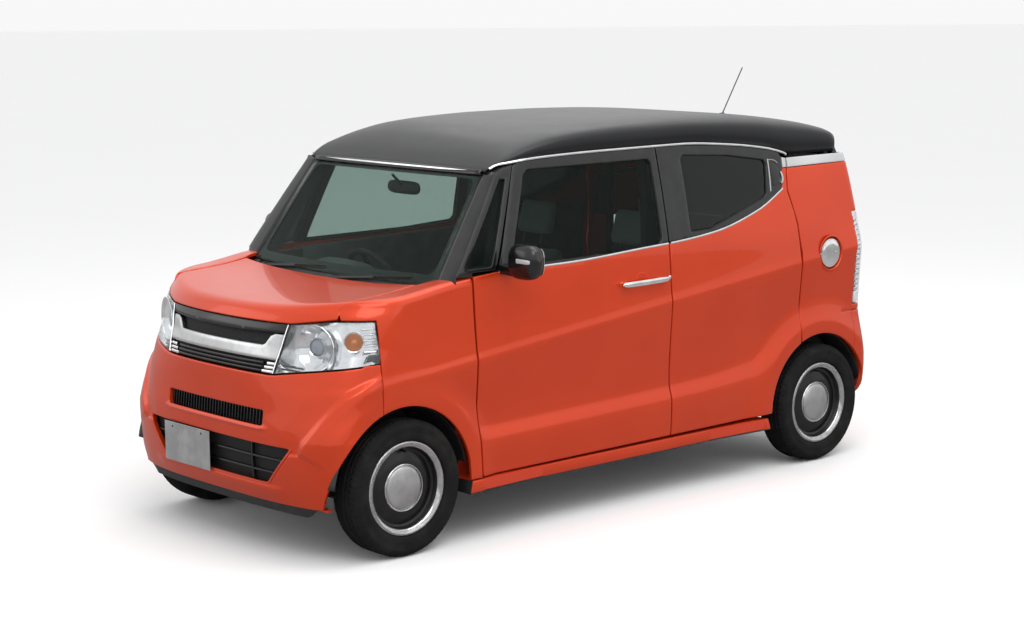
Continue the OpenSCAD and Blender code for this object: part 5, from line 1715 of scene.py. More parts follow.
    def _cowl(self) -> None:
        """Builds the cowl tray and the two wipers."""
        f = self.finishes
        maker = MeshMaker()
        xs = steps(-534, 534, 24)
        front = np.interp(np.abs(xs), [0, 250, 535], [-1090, -1089, -1078])
        rear = FORM.screen(xs, np.full_like(xs, 1060)) + 4
        maker.grid(np.array([np.stack([xs, front + (rear - front) * t, 1034 + 22 * t**0.7 + 0 * xs], axis=1)
                             for t in steps(0, 1, 8)]))
        for x in xs[1:-1]:
            y = float(np.interp(abs(x), [0, 250, 535], [-1086, -1085, -1075]))
            maker.box((x - 3, y, 1034), (x + 3, y + 12, 1042), 1)
        piece = maker.build("cowl_tray", f.trim)
        solidify = piece.modifiers.new("thickness", "SOLIDIFY")
        solidify.thickness, solidify.offset = 0.003, -1
        keep(piece, "body", ["cowl_and_wipers"])
        maker = MeshMaker()
        for x0 in (-500, 40):
            t = steps(0, 1, 14)
            x = x0 + 450 * t
            z = 1052 + 32 * t
            y = FORM.screen(x, z)
            path = np.stack([x, y - 3, z], axis=1)
            maker.sweep(path, [(-2.5, -1), (4, -3), (7, 0), (4, 3), (-2.5, 1)], (0, -0.8, 0.6))
            arm = np.stack([x0 + 250 * t, FORM.screen(x0 + 250 * t, 1050 + 22 * t) - 12 - 3 * t * (1 - t),
                            1047 + 22 * t], axis=1)
            maker.sweep(arm, [(-2, -5), (2, -5), (3, 0), (2, 5), (-2, 5)], (0, -0.8, 0.6))
            maker.lathe([(0.5, 16), (7, 16), (10, 12), (11, 0), (0.5, 0)],
                        (x0, float(FORM.screen(np.array([x0]), np.array([1050.0]))[0]) - 12, 1036), "z", 24)
        keep(maker.build("wipers", f.trim), "body")

    def _antenna(self) -> None:
        """Builds the roof antenna."""
        base = float(FORM.crown(1340)[0])
        maker = MeshMaker()
        sections = []
        for t in steps(0, 1, 10):
            z = base + 0.6 + 13 * t
            a, b = 20 * (1 - 0.55 * t**1.6), 32 * (1 - 0.6 * t**1.4)
            sections.append([(a * math.cos(q), 1350 + 8 * t + b * math.sin(q), z)
                             for q in np.linspace(0, 2 * math.pi, 32, endpoint=False)])
        ids = maker.grid(np.array(sections), wrap_v=True)
        maker.cap(ids[-1])
        maker.cap(ids[0][::-1])
        lean = math.radians(33)
        path = [(0, 1358 + math.sin(lean) * s, base + 6 + math.cos(lean) * s) for s in steps(0, 268, 60)]
        turns = [(3.1 if i % 2 else 2.5) if i > 3 else 4.0 for i in range(61)]
        rows_ = []
        for p, r in zip(path, turns):
            rows_.append([(p[0] + r * math.cos(q), p[1] + r * math.sin(q) * math.cos(lean),
                           p[2] - r * math.sin(q) * math.sin(lean))
                          for q in np.linspace(0, 2 * math.pi, 12, endpoint=False)])
        ids = maker.grid(np.array(rows_), wrap_v=True)
        maker.cap(ids[-1])
        keep(maker.build("antenna_mast", self.finishes.trim, sharp=60), "body", ["antenna"])


# ---------------------------------------------------------------- front end


def sunk(place: Place, depth: float, flip: bool = False) -> Place:
    """The surface moved inwards by a depth, along its normal."""

    def lower(a: np.ndarray, b: np.ndarray) -> np.ndarray:
        """Point below the surface."""
        a, b = np.asarray(a, float), np.asarray(b, float)
        e = 0.6
        normal = np.cross(place(a + e, b) - place(a - e, b), place(a, b + e) - place(a, b - e))
        normal /= np.maximum(np.linalg.norm(normal, axis=-1, keepdims=True), 1e-9)
        return place(a, b) - normal * depth * (-1 if flip else 1)

    return lower


def on_nose(points: Sequence[Point]) -> np.ndarray:
    """Nose coordinates of points given in front view."""
    return np.array([NOSE.at_x(x, z) for x, z in points])


def on_tail(points: Sequence[Point]) -> np.ndarray:
    """Tail coordinates of points given in rear view."""
    return np.array([TAIL.at_x(x, z) for x, z in points])


@dataclass
class FrontEnd:
    """Hood, bumper, grille, intakes, headlamps and front plate."""

    finishes: Finishes
    hood_half: float = 594
    hood_rear_half: float = 588
    arm: tuple[float, float] = (553, 567)
    axis: tuple[float, float] = (-1040, 1050)
    plate_x: float = -175
    lamp_depth: float = 52

    def build(self) -> None:
        """Builds the front."""
        self._hood()
        self._bumper()
        self._grille()
        self._intakes()
        self._headlamps()
        self._plate()

    def _hood_profile(self, x0: float) -> np.ndarray:
        """Points of the hood from its front edge over the nose to its rear edge, at a distance from the middle."""
        z_edge = float(np.interp(abs(x0), [0, 415, 594], [946, 946, 972]))
        z = 1000.0
        for _ in range(14):
            y = float(FORM.front_y(x0, z)[0])
            z = float(FORM.hood(np.array([x0]), np.array([y]))[0])
        zs = steps(z_edge, z - 17, 7)
        face = np.stack([np.full(8, x0), FORM.front_y(x0, zs), zs], axis=1)
        run = 26.0
        end_z = float(FORM.hood(np.array([x0]), np.array([y + run]))[0])
        start, corner, end = face[-1], np.array([x0, y - 1, z]), np.array([x0, y + run, end_z])
        bend = [(1 - t) ** 2 * start + 2 * t * (1 - t) * corner + t**2 * end for t in steps(0, 1, 8)[1:]]
        rear = float(np.interp(abs(x0), [0, 400, 594], [-1102, -1098, -1089]))
        ys = y + run + (rear - y - run) * np.concatenate([steps(0.03, 0.97, 32), [0.985, 1.0]])
        xs = x0 * np.interp(ys, [-1360, -1090], [1, self.hood_rear_half / self.hood_half])
        top = np.stack([xs, ys, FORM.hood(xs, ys)], axis=1)
        return np.vstack([face, bend, top])

    def _hood(self) -> None:
        """Builds the hood with its hinge arms."""
        ts = np.concatenate([[-1, -0.992], steps(-0.975, 0.975, 54), [0.992, 1]])
        maker = MeshMaker()
        maker.slab(np.array([self._hood_profile(self.hood_half * t) for t in ts]), 14, 3.5)
        keep(maker.build("hood_skin", self.finishes.paint), "hood", ["hood"])
        y, z = self.axis
        maker = MeshMaker()
        maker.box((self.arm[0], -1158, z - 8), (self.arm[1], y, z + 3), 2)
        maker.lathe([(5.2, -7), (9, -7), (9, 7), (5.2, 7), (5.2, -7)], (sum(self.arm) / 2, y, z), count=24)
        maker.mirror()
        ribs = [(-1490, -1180)]
        for x in (-430, -215, 0, 215, 430):
            for y0, y1 in ribs:
                ys = steps(y0, y1, 10)
                zs = FORM.hood(np.full(11, float(x)), ys) - 17
                maker.sweep(np.stack([np.full(11, float(x)), ys, zs], axis=1),
                            [(-8, -22), (3.5, -30), (3.5, 30), (-8, 22)], (0, 0, 1))
        keep(maker.build("hood_frame", self.finishes.steel), "hood")

    def _bumper(self) -> None:
        """Builds the painted bumper, its openings' lips and the black lower edge."""
        f = self.finishes
        arch_y = FORM.front_axle - 15
        at = NOSE.at_y
        lip = arc(arch_y, FORM.arch_z, FORM.arch + 1, 187.4, arch_angle(arch_y, -1378.4), 26)
        half = [NOSE.at_x(x, 230) for x in (0, 200, 400, 560, 660)] + [at(y, z) for y, z in lip] \
            + [at(-1378.4, 700), at(-1378.4, 796)] + [at(-1440, 795)] \
            + [NOSE.at_x(x, z) for x, z in ((700, 788), (600, 774), (480, 758), (380, 743), (345, 740), (320, 740))] \
            + [(0, 740)]
        slot = rounded(on_nose([(-335, 539), (335, 539), (335, 600), (-335, 600)]), 12)
        intake = rounded(on_nose([(-364, 307), (364, 307), (508, 465), (-508, 465)]), [40, 40, 16, 16])
        maker = MeshMaker()
        maker.panel(self._bumper_place, both(half), [slot, intake], step=7, thick=20, roll=3.5)
        keep(maker.build("front_bumper_skin", f.paint), "body", ["front_bumper"])
        maker = MeshMaker()
        lower = [NOSE.at_x(x, z) for x, z in ((0, 192), (440, 192), (540, 190), (556, 198), (600, 222), (640, 233))] \
            + [(0, 236)]
        maker.panel(sunk(NOSE, 8), both(lower), step=22, thick=16, roll=4)
        keep(maker.build("front_lower_edge", f.trim), "body")

    def _bumper_place(self, u: np.ndarray, z: np.ndarray) -> np.ndarray:
        """Bumper surface: the nose with a hollow above the slot's lip and facets beside the intake."""
        base = NOSE(u, z)
        a = np.abs(u)
        ledge = np.clip((z - 516) / 10, 0, 1) * np.clip((540 - z) / 14, 0, 1) * np.clip((375 - a) / 40, 0, 1) * 5
        edge = 508 + (z - 465) * 0.91
        near = np.clip((a - edge + 6) / 22, 0, 1) * np.clip((edge + 120 - a) / 110, 0, 1)
        facet = near * np.clip((z - 290) / 40, 0, 1) * np.clip((500 - z) / 40, 0, 1) * 9
        chin = np.clip((308 - z) / 14, 0, 1) * np.clip((z - 238) / 40, 0, 1) * np.clip((470 - a) / 60, 0, 1) * 6
        base = base.copy()
        base[..., 1] -= np.minimum(ledge + chin, 6)
        base[..., 0] += np.sign(u) * facet * 0.15
        base[..., 1] -= facet * 0.2
        out = np.stack([base[..., 0], base[..., 1] + 1250], axis=-1)
        out /= np.linalg.norm(out, axis=-1, keepdims=True)
        base[..., :2] += out * self._flare(a, z)[..., None]
        return base

    def _flare(self, a: np.ndarray, z: np.ndarray) -> np.ndarray:
        """How far the wheel arch's flare stands proud on the bumper's corner."""
        crest = np.array([NOSE.at_y(y, h) for y, h in ((-1378, 752), (-1397, 743), (-1469, 715), (-1527, 680),
                                                       (-1568, 634), (-1605, 578), (-1629, 534), (-1647, 488),
                                                       (-1652, 452))])
        foot = np.array([NOSE.at_y(y, h) for y, h in ((-1652, 452), (-1629, 420), (-1603, 388))])
        tail = float(NOSE.at_y(-1378, 700)[0])

        def beyond(line: np.ndarray) -> np.ndarray:
            """Signed distance from a line, positive on its outer side."""
            best = np.full(a.shape, 1e9)
            side = np.zeros(a.shape)
            for (x0, z0), (x1, z1) in zip(line, line[1:]):
                dx, dz = x1 - x0, z1 - z0
                size = math.hypot(dx, dz)
                t = np.clip(((a - x0) * dx + (z - z0) * dz) / size**2, 0, 1)
                away = np.hypot(a - x0 - t * dx, z - z0 - t * dz)
                cross = ((a - x0) * dz - (z - z0) * dx) / size
                side = np.where(away < best - 1e-6, np.sign(cross), side)
                best = np.minimum(best, away)
            return best * side

        upper, lower = -beyond(crest), -beyond(foot)
        rise = np.clip((upper + 3) / 11, 0, 1)
        valley = np.clip((upper + 110) / 100, 0, 1) * np.clip(-upper / 12, 0, 1) * (z > 440)
        keep_out = np.clip((lower + 8) / 18, 0, 1)
        ends = np.clip((tail - a) / 90, 0, 1)
        return (rise * rise * (3 - 2 * rise) * keep_out * np.clip((150 - upper) / 110, 0, 1) * 11 - valley * 7) * ends

    def _grille(self) -> None:
        """Builds the upper grille: dark bar, mesh, bright band and slats."""
        f = self.finishes
        outline = on_nose([(-366, 747), (366, 747), (404, 942), (-404, 942)])
        maker = MeshMaker()
        maker.panel(sunk(NOSE, 26), outline, step=24, thick=4, roll=1)
        keep(maker.build("grille_backing", f.lattice), "body", ["grilles"])
        maker = MeshMaker()
        bar = on_nose([(-395, 908), (-150, 902), (150, 902), (395, 908), (404, 943), (-404, 943)])
        maker.panel(NOSE, bar, step=14, thick=22, roll=6, lift=-1)
        keep(maker.build("grille_bar", f.gloss), "body")
        maker = MeshMaker()
        band = [(-391, 903), (-380, 812), (-372, 800), (372, 800), (380, 812), (391, 903), (345, 903), (322, 893),
                (300, 862), (286, 855), (-286, 855), (-300, 862), (-322, 893), (-345, 903)]
        maker.panel(NOSE, rounded(on_nose(band), [4, 8, 8, 8, 8, 4, 6, 12, 12, 16, 16, 12, 12, 6]), step=9, thick=18,
                    roll=6, lift=-3)
        keep(maker.build("grille_band", f.satin), "body")
        dark, bright = MeshMaker(), MeshMaker()
        for k, z in enumerate((754, 770, 786)):
            end = 364 + 3 * k
            dark.panel(NOSE, on_nose([(-300, z - 5), (300, z - 5), (300, z + 5), (-300, z + 5)]), step=20, thick=16,
                       roll=3, lift=-8)
            for s in (-1, 1):
                bright.panel(NOSE, on_nose([(s * (300 + 12 * k), z - 6), (s * end, z - 6), (s * (end + 2), z + 6),
                                            (s * (300 + 12 * k), z + 6)]), step=12, thick=14, roll=3, lift=-5)
        keep(dark.build("grille_slats", f.gloss), "body")
        keep(bright.build("grille_slat_ends", f.chrome), "body")
        maker = MeshMaker()
        for s in (-1, 1):
            line = on_nose([(s * 369, 749), (s * 406, 941)])
            path = NOSE(*np.array([line[0] + (line[1] - line[0]) * t for t in steps(0, 1, 16)]).T)
            maker.sweep(path, [(-14, -3), (1, -3), (2, 0), (1, 3), (-14, 3)], (0, -1, 0))
        keep(maker.build("grille_edges", f.chrome), "body")

    def _intakes(self) -> None:
        """Builds the mesh and bars behind the bumper's openings."""
        f = self.finishes
        maker = MeshMaker()
        slot = on_nose([(-352, 528), (352, 528), (352, 612), (-352, 612)])
        maker.panel(sunk(NOSE, 24), slot, step=30, thick=4, roll=1)
        intake = on_nose([(-376, 293), (376, 293), (524, 480), (-524, 480)])
        maker.panel(sunk(NOSE, 30), intake, step=30, thick=4, roll=1)
        keep(maker.build("intake_mesh", f.lattice), "body")
        maker = MeshMaker()
        for x in steps(-320, 320, 32):
            u0, _ = NOSE.at_x(float(x), 570)
            maker.panel(NOSE, [(u0 - 2, 534), (u0 + 2, 534), (u0 + 2, 606), (u0 - 2, 606)], step=40, thick=8, roll=1,
                        lift=-15)
        for z in (352, 408):
            reach = 364 + (z - 307) * 0.91 + 6
            u1, _ = NOSE.at_x(reach, z)
            maker.panel(NOSE, [(-u1, z - 4), (u1, z - 4), (u1, z + 4), (-u1, z + 4)], step=30, thick=14, roll=2,
                        lift=-14)
        for x in (-255, 255):
            u0, _ = NOSE.at_x(float(x), 380)
            maker.panel(NOSE, [(u0 - 4, 300), (u0 + 4, 300), (u0 + 4, 468), (u0 - 4, 468)], step=30, thick=14, roll=2,
                        lift=-13)
        keep(maker.build("intake_bars", f.gloss), "body")
        maker = MeshMaker()
        corner = rounded(on_nose([(-508, 465), (-364, 307), (364, 307), (508, 465)]), [0, 40, 40, 0])
        line = dense(corner, 10)
        line = line[: int(np.argmax(np.abs(line[:, 0] - corner[-1][0]) < 1e-6)) + 1]
        path = self._bumper_place(line[:, 0], line[:, 1])
        maker.sweep(path, [(-8, -5), (2.5, -5), (4, -1), (2.5, 4), (-8, 4)], (0, -1, 0))
        keep(maker.build("intake_lip", f.paint), "body")

    def _headlamps(self) -> None:
        """Builds both headlamps: bright housing, bowl, bulbs, louvres and clear lens."""
        f = self.finishes
        inner = [(376, 748), (414, 942), (500, 952), (594, 964)]
        outline = np.array([NOSE.at_x(x, z) for x, z in inner]
                           + [NOSE.at_y(y, 964) for y in (-1440, -1380.5)] + [NOSE.at_y(-1380.5, 801)]
                           + [NOSE.at_x(x, z) for x, z in ((700, 793), (600, 779), (480, 763))])
        outline = rounded(outline, [6, 4, 0, 0, 0, 10, 10, 0, 0, 0])
        maker = MeshMaker()
        maker.panel(NOSE, outline, step=12, thick=3, roll=1.4, lift=0.4)
        maker.mirror()
        keep(maker.build("headlamp_lenses", f.lens), "body", ["headlamps"])
        back = sunk(NOSE, self.lamp_depth)
        maker = MeshMaker()
        loop = ccw(dense(inset(ccw(outline), 3), 14))
        flat, tris, _ = fill([loop], 16)
        low = maker.add(back(flat[:, 0], flat[:, 1]))
        for t in tris:
            maker.face(*(int(low[k]) for k in t))
        rims = [maker.add(sunk(NOSE, d)(loop[:, 0], loop[:, 1])) for d in (4, self.lamp_depth * 0.5, self.lamp_depth)]
        for a, b in zip(rims, rims[1:]):
            maker.strip(a, b)
        maker.mirror()
        keep(maker.build("headlamp_housings", f.reflector, sharp=30), "body")
        self._lamp_inside(back)

    def _lamp_inside(self, back: Place) -> None:
        """Builds the bowl, projector, bulbs and louvres in each headlamp."""
        f = self.finishes
        centre = np.array([528.0, -1556.0, 858.0])
        face = np.array([float(v) for v in NOSE(*np.array([[NOSE.at_x(528, 858)[0]], [858.0]]))[0]])
        away = Vector((0.32, -0.94, 0.0)).normalized()
        turn = Matrix.Translation(Vector(face)) @ away.to_track_quat("Z", "Y").to_matrix().to_4x4()
        maker = MeshMaker()
        maker.lathe([(88, -8), (92, -6), (93, -9), (90, -14), (78, -28), (58, -44), (38, -52), (34, -50), (56, -40),
                     (76, -24), (84, -12), (88, -8)], (0, 0, 0), "z", 64)
        maker.lathe([(34, -26), (38, -22), (40, -26), (38, -50), (34, -50), (34, -26)], (0, 0, 0), "z", 48)
        maker.move(turn)
        maker.mirror()
        keep(maker.build("headlamp_bowls", f.chrome), "body")
        maker = MeshMaker()
        maker.lathe([(0.5, -18), (12, -19), (22, -22), (30, -28), (34, -36), (34, -44), (0.5, -44)], (0, 0, 0), "z", 40)
        maker.move(turn)
        maker.mirror()
        keep(maker.build("headlamp_projectors", f.bead, sharp=60), "body")
        bulb = NOSE(*np.array([[NOSE.at_x(661, 884)[0]], [884.0]]))[0]
        lean = Vector((0.8, -0.6, 0.0)).normalized()
        spot = Matrix.Translation(Vector(bulb)) @ lean.to_track_quat("Z", "Y").to_matrix().to_4x4()
        maker = MeshMaker()
        maker.lathe([(0.5, -14), (8, -16), (12, -22), (12, -44), (0.5, -44)], (0, 0, 0), "z", 24)
        maker.move(spot)
        maker.mirror()
        keep(maker.build("indicator_bulbs", f.amber, sharp=60), "body")
        maker = MeshMaker()
        maker.lathe([(36, -12), (40, -10), (41, -14), (30, -34), (14, -44), (12, -40), (28, -30), (36, -12)],
                    (0, 0, 0), "z", 40)
        maker.move(spot)
        for k in range(5):
            z = 848 + 22 * k
            u0, u1 = NOSE.at_y(-1432, z)[0], NOSE.at_y(-1386, z)[0]
            maker.panel(NOSE, [(u0, z - 3), (u1, z - 3), (u1, z + 3), (u0, z + 3)], step=16, thick=26, roll=1.5,
                        lift=-8)
        maker.mirror()
        keep(maker.build("lamp_louvres", f.chrome), "body")
        maker = MeshMaker()
        u0, u1 = NOSE.at_y(-1424, 820)[0], NOSE.at_y(-1386, 820)[0]
        maker.panel(NOSE, [(u0 - 6, 812), (u1, 812), (u1, 838), (u0, 838)], step=14, thick=20, roll=2, lift=-7)
        for z0 in (770, 784):
            ua, ub = NOSE.at_x(400, z0)[0], NOSE.at_x(455, z0)[0]
            maker.panel(NOSE, [(ua, z0 - 4), (ub, z0 - 4), (ub, z0 + 4), (ua, z0 + 4)], step=14, thick=20, roll=2,
                        lift=-10)
        maker.mirror()
        keep(maker.build("lamp_dark_blocks", f.gloss), "body")
        LOG.info("headlamp bowls centred at %s", centre)

    def _plate(self) -> None:
        """Builds the bare front plate with its holder."""
        y = -FORM.length / 2
        x = self.plate_x
        maker = MeshMaker()
        maker.box((x - 165, y, 300), (x + 165, y + 3, 465), 1.4)
        keep(maker.build("front_plate_blank", self.finishes.plate), "body", ["front_plate"])
        maker = MeshMaker()
        maker.box((x - 160, y + 3, 305), (x + 160, y + 8, 460), 2)
        maker.box((x - 60, y + 7, 345), (x + 60, float(FORM.nose(np.array([380.0]))[0]) + 34, 415), 3)
        for dx in (-105, 105):
            maker.lathe([(0.5, 2), (5, 1.5), (6, 0), (6, -2), (0.5, -2)], (x + dx, y + 1.2, 447), "y", 20, -1)
        keep(maker.build("front_plate_holder", self.finishes.trim), "body")


# ---------------------------------------------------------------- rear end


@dataclass
class RearEnd:
    """Tailgate with its glass and fittings, tail lamps, bumper and rear plate."""

    finishes: Finishes
    axis: tuple[float, float] = (1496, 1524)
    window: tuple[Point, ...] = ((-490, 1100), (490, 1100), (516, 1132), (503, 1400), (478, 1438), (-478, 1438),
                                 (-503, 1400), (-516, 1132))

    def build(self) -> None:
        """Builds the rear."""
        self._tailgate()
        self._fittings()
        self._lamps()
        self._bumper()
        self._header()

    def _tailgate(self) -> None:
        """Builds the tailgate's skin, upper frame, glass, lining and hinge arms."""
        f = self.finishes
        edge = [(572, 575), (588, 660), (598, 720), (596, 950), (592, 1180), (589, 1300), (585.5, 1404)]
        maker = MeshMaker()
        skin = both([(0, 575)] + edge)
        maker.panel(rear_place, rounded(skin, 0), [rounded([(-536, 1066), (536, 1066), (536, 1380), (-536, 1380)], 30)
                                                   ], step=14, thick=24, roll=4, flip=True)
        keep(maker.build("tailgate_skin", f.paint), "tailgate", ["tailgate"])
        maker = MeshMaker()
        frame_line = [(-528, 1073), (528, 1073), (542, 1120), (545, 1390), (584, 1407), (583, 1440), (562, 1500),
                      (545, 1515), (-545, 1515), (-562, 1500), (-583, 1440), (-584, 1407), (-545, 1390), (-542, 1120)]
        maker.panel(rear_place, frame_line, [rounded(self.window, [26, 26, 16, 30, 20, 20, 30, 16])], step=18,
                    thick=22, roll=3, flip=True, lift=-1)
        keep(maker.build("tailgate_frame", f.gloss), "tailgate")
        maker = MeshMaker()
        maker.panel(rear_place, inset(ccw(rounded(self.window, 20)), -5), step=40, thick=4, roll=1, flip=True, lift=-8)
        keep(maker.build("tailgate_pane", f.privacy), "tailgate", ["tailgate_glass"])
        maker = MeshMaker()
        maker.panel(sunk(rear_place, 25, True), rounded([(-540, 600), (540, 600), (545, 1060), (-545, 1060)], 24),
                    step=60, thick=12, roll=5, flip=True)
        keep(maker.build("tailgate_lining", f.dash), "tailgate")
        maker = MeshMaker()
        y, z = self.axis
        maker.box((393, y, z - 9), (407, 1549, z - 1), 2)
        maker.box((393, 1526, 1478), (407, 1540, z - 1), 2)
        maker.lathe([(5.2, -7), (9, -7), (9, 7), (5.2, 7), (5.2, -7)], (400, y, z), count=24)
        maker.mirror()
        keep(maker.build("tailgate_arms", f.steel), "tailgate")

    def _fittings(self) -> None:
        """Builds the garnish with its handle, the rear wiper, the plate and its lamps."""
        f = self.finishes
        maker = MeshMaker()
        maker.panel(rear_place, rounded([(-300, 950), (300, 950), (286, 1000), (-286, 1000)], 10), step=14, thick=14,
                    roll=5, flip=True, lift=7)
        keep(maker.build("tailgate_garnish", f.chrome), "tailgate")
        maker = MeshMaker()
        maker.panel(rear_place, rounded([(-200, 738), (200, 738), (214, 944), (-214, 944)], 18), step=22, thick=6,
                    roll=2, flip=True, lift=1.2)
        maker.box((-120, float(FORM.rear_y(0, 936)[0]) - 4, 930), (120, float(FORM.rear_y(0, 936)[0]) + 12, 944), 4)
        keep(maker.build("plate_recess", f.trim), "tailgate")
        y = float(FORM.tail(np.array([760.0]))[0]) + 0.4
        maker = MeshMaker()
        maker.box((-165, y, 760), (165, y + 4, 925), 1.6)
        keep(maker.build("rear_plate_blank", f.plate), "tailgate", ["rear_plate"])
        maker = MeshMaker()
        base = rear_place(np.array([0.0]), np.array([1084.0]))[0]
        maker.lathe([(0.5, 26), (12, 24), (18, 16), (20, 0), (20, -6), (0.5, -6)], tuple(base), "y", 32)
        x = steps(0, -330, 16)
        arm = rear_place(x, 1088 + 40 * (1 - np.cos(x / 330)))
        maker.sweep(arm + (0, 13, 0), [(-3, -8), (3, -6), (4, 0), (3, 6), (-3, 8)], (0, 1, 0.2))
        maker.sweep(arm[4:] + (0, 5, 0), [(-7, -2), (5, -3), (5, 3), (-7, 2)], (0, 1, 0.2))
        keep(maker.build("rear_wiper", f.trim), "tailgate")
        maker = MeshMaker()
        maker.panel(rear_place, rounded([(-110, 1462), (110, 1462), (104, 1484), (-104, 1484)], 7), step=12, thick=6,
                    roll=2, flip=True, lift=2.5)
        keep(maker.build("high_stop_lamp", f.red), "tailgate")

    def _lamps(self) -> None:
        """Builds the tall tail lamps: clear lens over ribs with a white foot and a red column."""
        f = self.finishes
        edge = [(731, 608.5), (950, 605.5), (1168, 602)]

        def outline(cut: float, z0: float, z1: float, wrap: float = 1514.5) -> np.ndarray:
            """Outline between two heights, narrowed by a cut at the inner edge."""
            zs = steps(z0, z1, 10)
            inner = [TAIL.at_x(float(np.interp(z, *np.array(edge).T)) + cut, z) for z in zs]
            outer = [TAIL.at_y(wrap, z) for z in zs[::-1]]
            return np.array(inner + outer)

        maker = MeshMaker()
        maker.panel(TAIL, outline(0, 731, 1168), step=13, thick=3, roll=1.4, flip=True, lift=0.4)
        maker.mirror()
        keep(maker.build("tail_lamp_lenses", f.lens), "body", ["tail_lamps"])
        maker = MeshMaker()
        maker.panel(sunk(TAIL, 24, True), outline(3, 734, 1165, 1519), step=20, thick=12, roll=2, flip=True)
        maker.mirror()
        keep(maker.build("tail_lamp_housings", f.reflector), "body")
        maker = MeshMaker()
        for z in steps(798, 1138, 14):
            maker.panel(TAIL, outline(6, z - 8, z + 8, 1519), step=16, thick=14, roll=4.5, flip=True, lift=-5)
        maker.mirror()
        keep(maker.build("tail_lamp_ribs", f.chrome), "body")
        maker = MeshMaker()
        maker.panel(TAIL, outline(4, 735, 786, 1519), step=14, thick=12, roll=3, flip=True, lift=-4)
        maker.mirror()
        keep(maker.build("tail_lamp_feet", f.white), "body")
        maker = MeshMaker()
        for z0, z1 in ((806, 1132),):
            zs = steps(z0, z1, 12)
            inner = [TAIL.at_x(625, z) for z in zs]
            outer = [TAIL.at_x(668, z) for z in zs[::-1]]
            maker.panel(TAIL, np.array(inner + outer), step=14, thick=8, roll=3, flip=True, lift=-2.6)
        maker.mirror()
        keep(maker.build("tail_lamp_columns", f.red), "body")

    def _bumper(self) -> None:
        """Builds the rear bumper, its black lower edge and reflectors."""
        f = self.finishes
        arch_y = FORM.rear_axle - 15
        at = TAIL.at_y
        lip = arc(arch_y, FORM.arch_z, FORM.arch + 1, -6.4, arch_angle(arch_y, 1500.5), 24)
        half = [TAIL.at_x(x, 237) for x in (0, 250, 450, 600, 690)] + [at(y, z) for y, z in lip] \
            + [at(1500.6, 600), at(1500.6, 697)] \
            + [TAIL.at_x(x, 697) for x in (725, 700, 650, 610)] \
            + [TAIL.at_x(600, 650), TAIL.at_x(585, 564), TAIL.at_x(300, 562), (0, 562)]
        maker = MeshMaker()
        maker.panel(TAIL, both(half), step=14, thick=20, roll=3.5, flip=True)
        keep(maker.build("rear_bumper_skin", f.paint), "body", ["rear_bumper"])
        maker = MeshMaker()
        lower = [TAIL.at_x(x, z) for x, z in ((0, 240), (440, 240), (490, 252), (500, 330), (470, 352))] + [(0, 352)]
        maker.panel(TAIL, both(lower), step=20, thick=8, roll=3, flip=True, lift=-0.6)
        keep(maker.build("rear_lower_garnish", f.trim), "body")
        maker = MeshMaker()
        maker.panel(TAIL, rounded(on_tail([(540, 408), (640, 408), (640, 436), (540, 436)]), 8), step=14, thick=6,
                    roll=2, flip=True, lift=1.6)
        maker.mirror()
        keep(maker.build("rear_reflectors", f.red), "body")

    def _header(self) -> None:
        """Builds the black channel between the roof's rear edge and the tailgate."""
        maker = MeshMaker()
        for x0, x1, n in ((-378, 378, 24), (432, 548, 6), (-548, -432, 6)):
            xs = steps(x0, x1, n)
            angle = np.degrees(np.arcsin(np.clip(np.abs(xs) / 626, 0, 0.995) ** 3))
            top = FORM.roof(np.full(len(xs), 1499.0), angle)[:, 2] - 13
            rows_ = []
            for y, share in ((1492, 0.0), (1499, 0.03), (1503, 0.35), (1505, 0.7), (1500, 1.0), (1492, 1.08)):
                rows_.append(np.stack([xs, np.full(len(xs), float(y)), top + (1510 - top) * share], axis=1))
            maker.grid(np.array(rows_))
        piece = maker.build("rear_header", self.finishes.trim)
        solidify = piece.modifiers.new("thickness", "SOLIDIFY")
        solidify.thickness, solidify.offset = 0.003, 0
        keep(piece, "body")


# ---------------------------------------------------------------- wheels


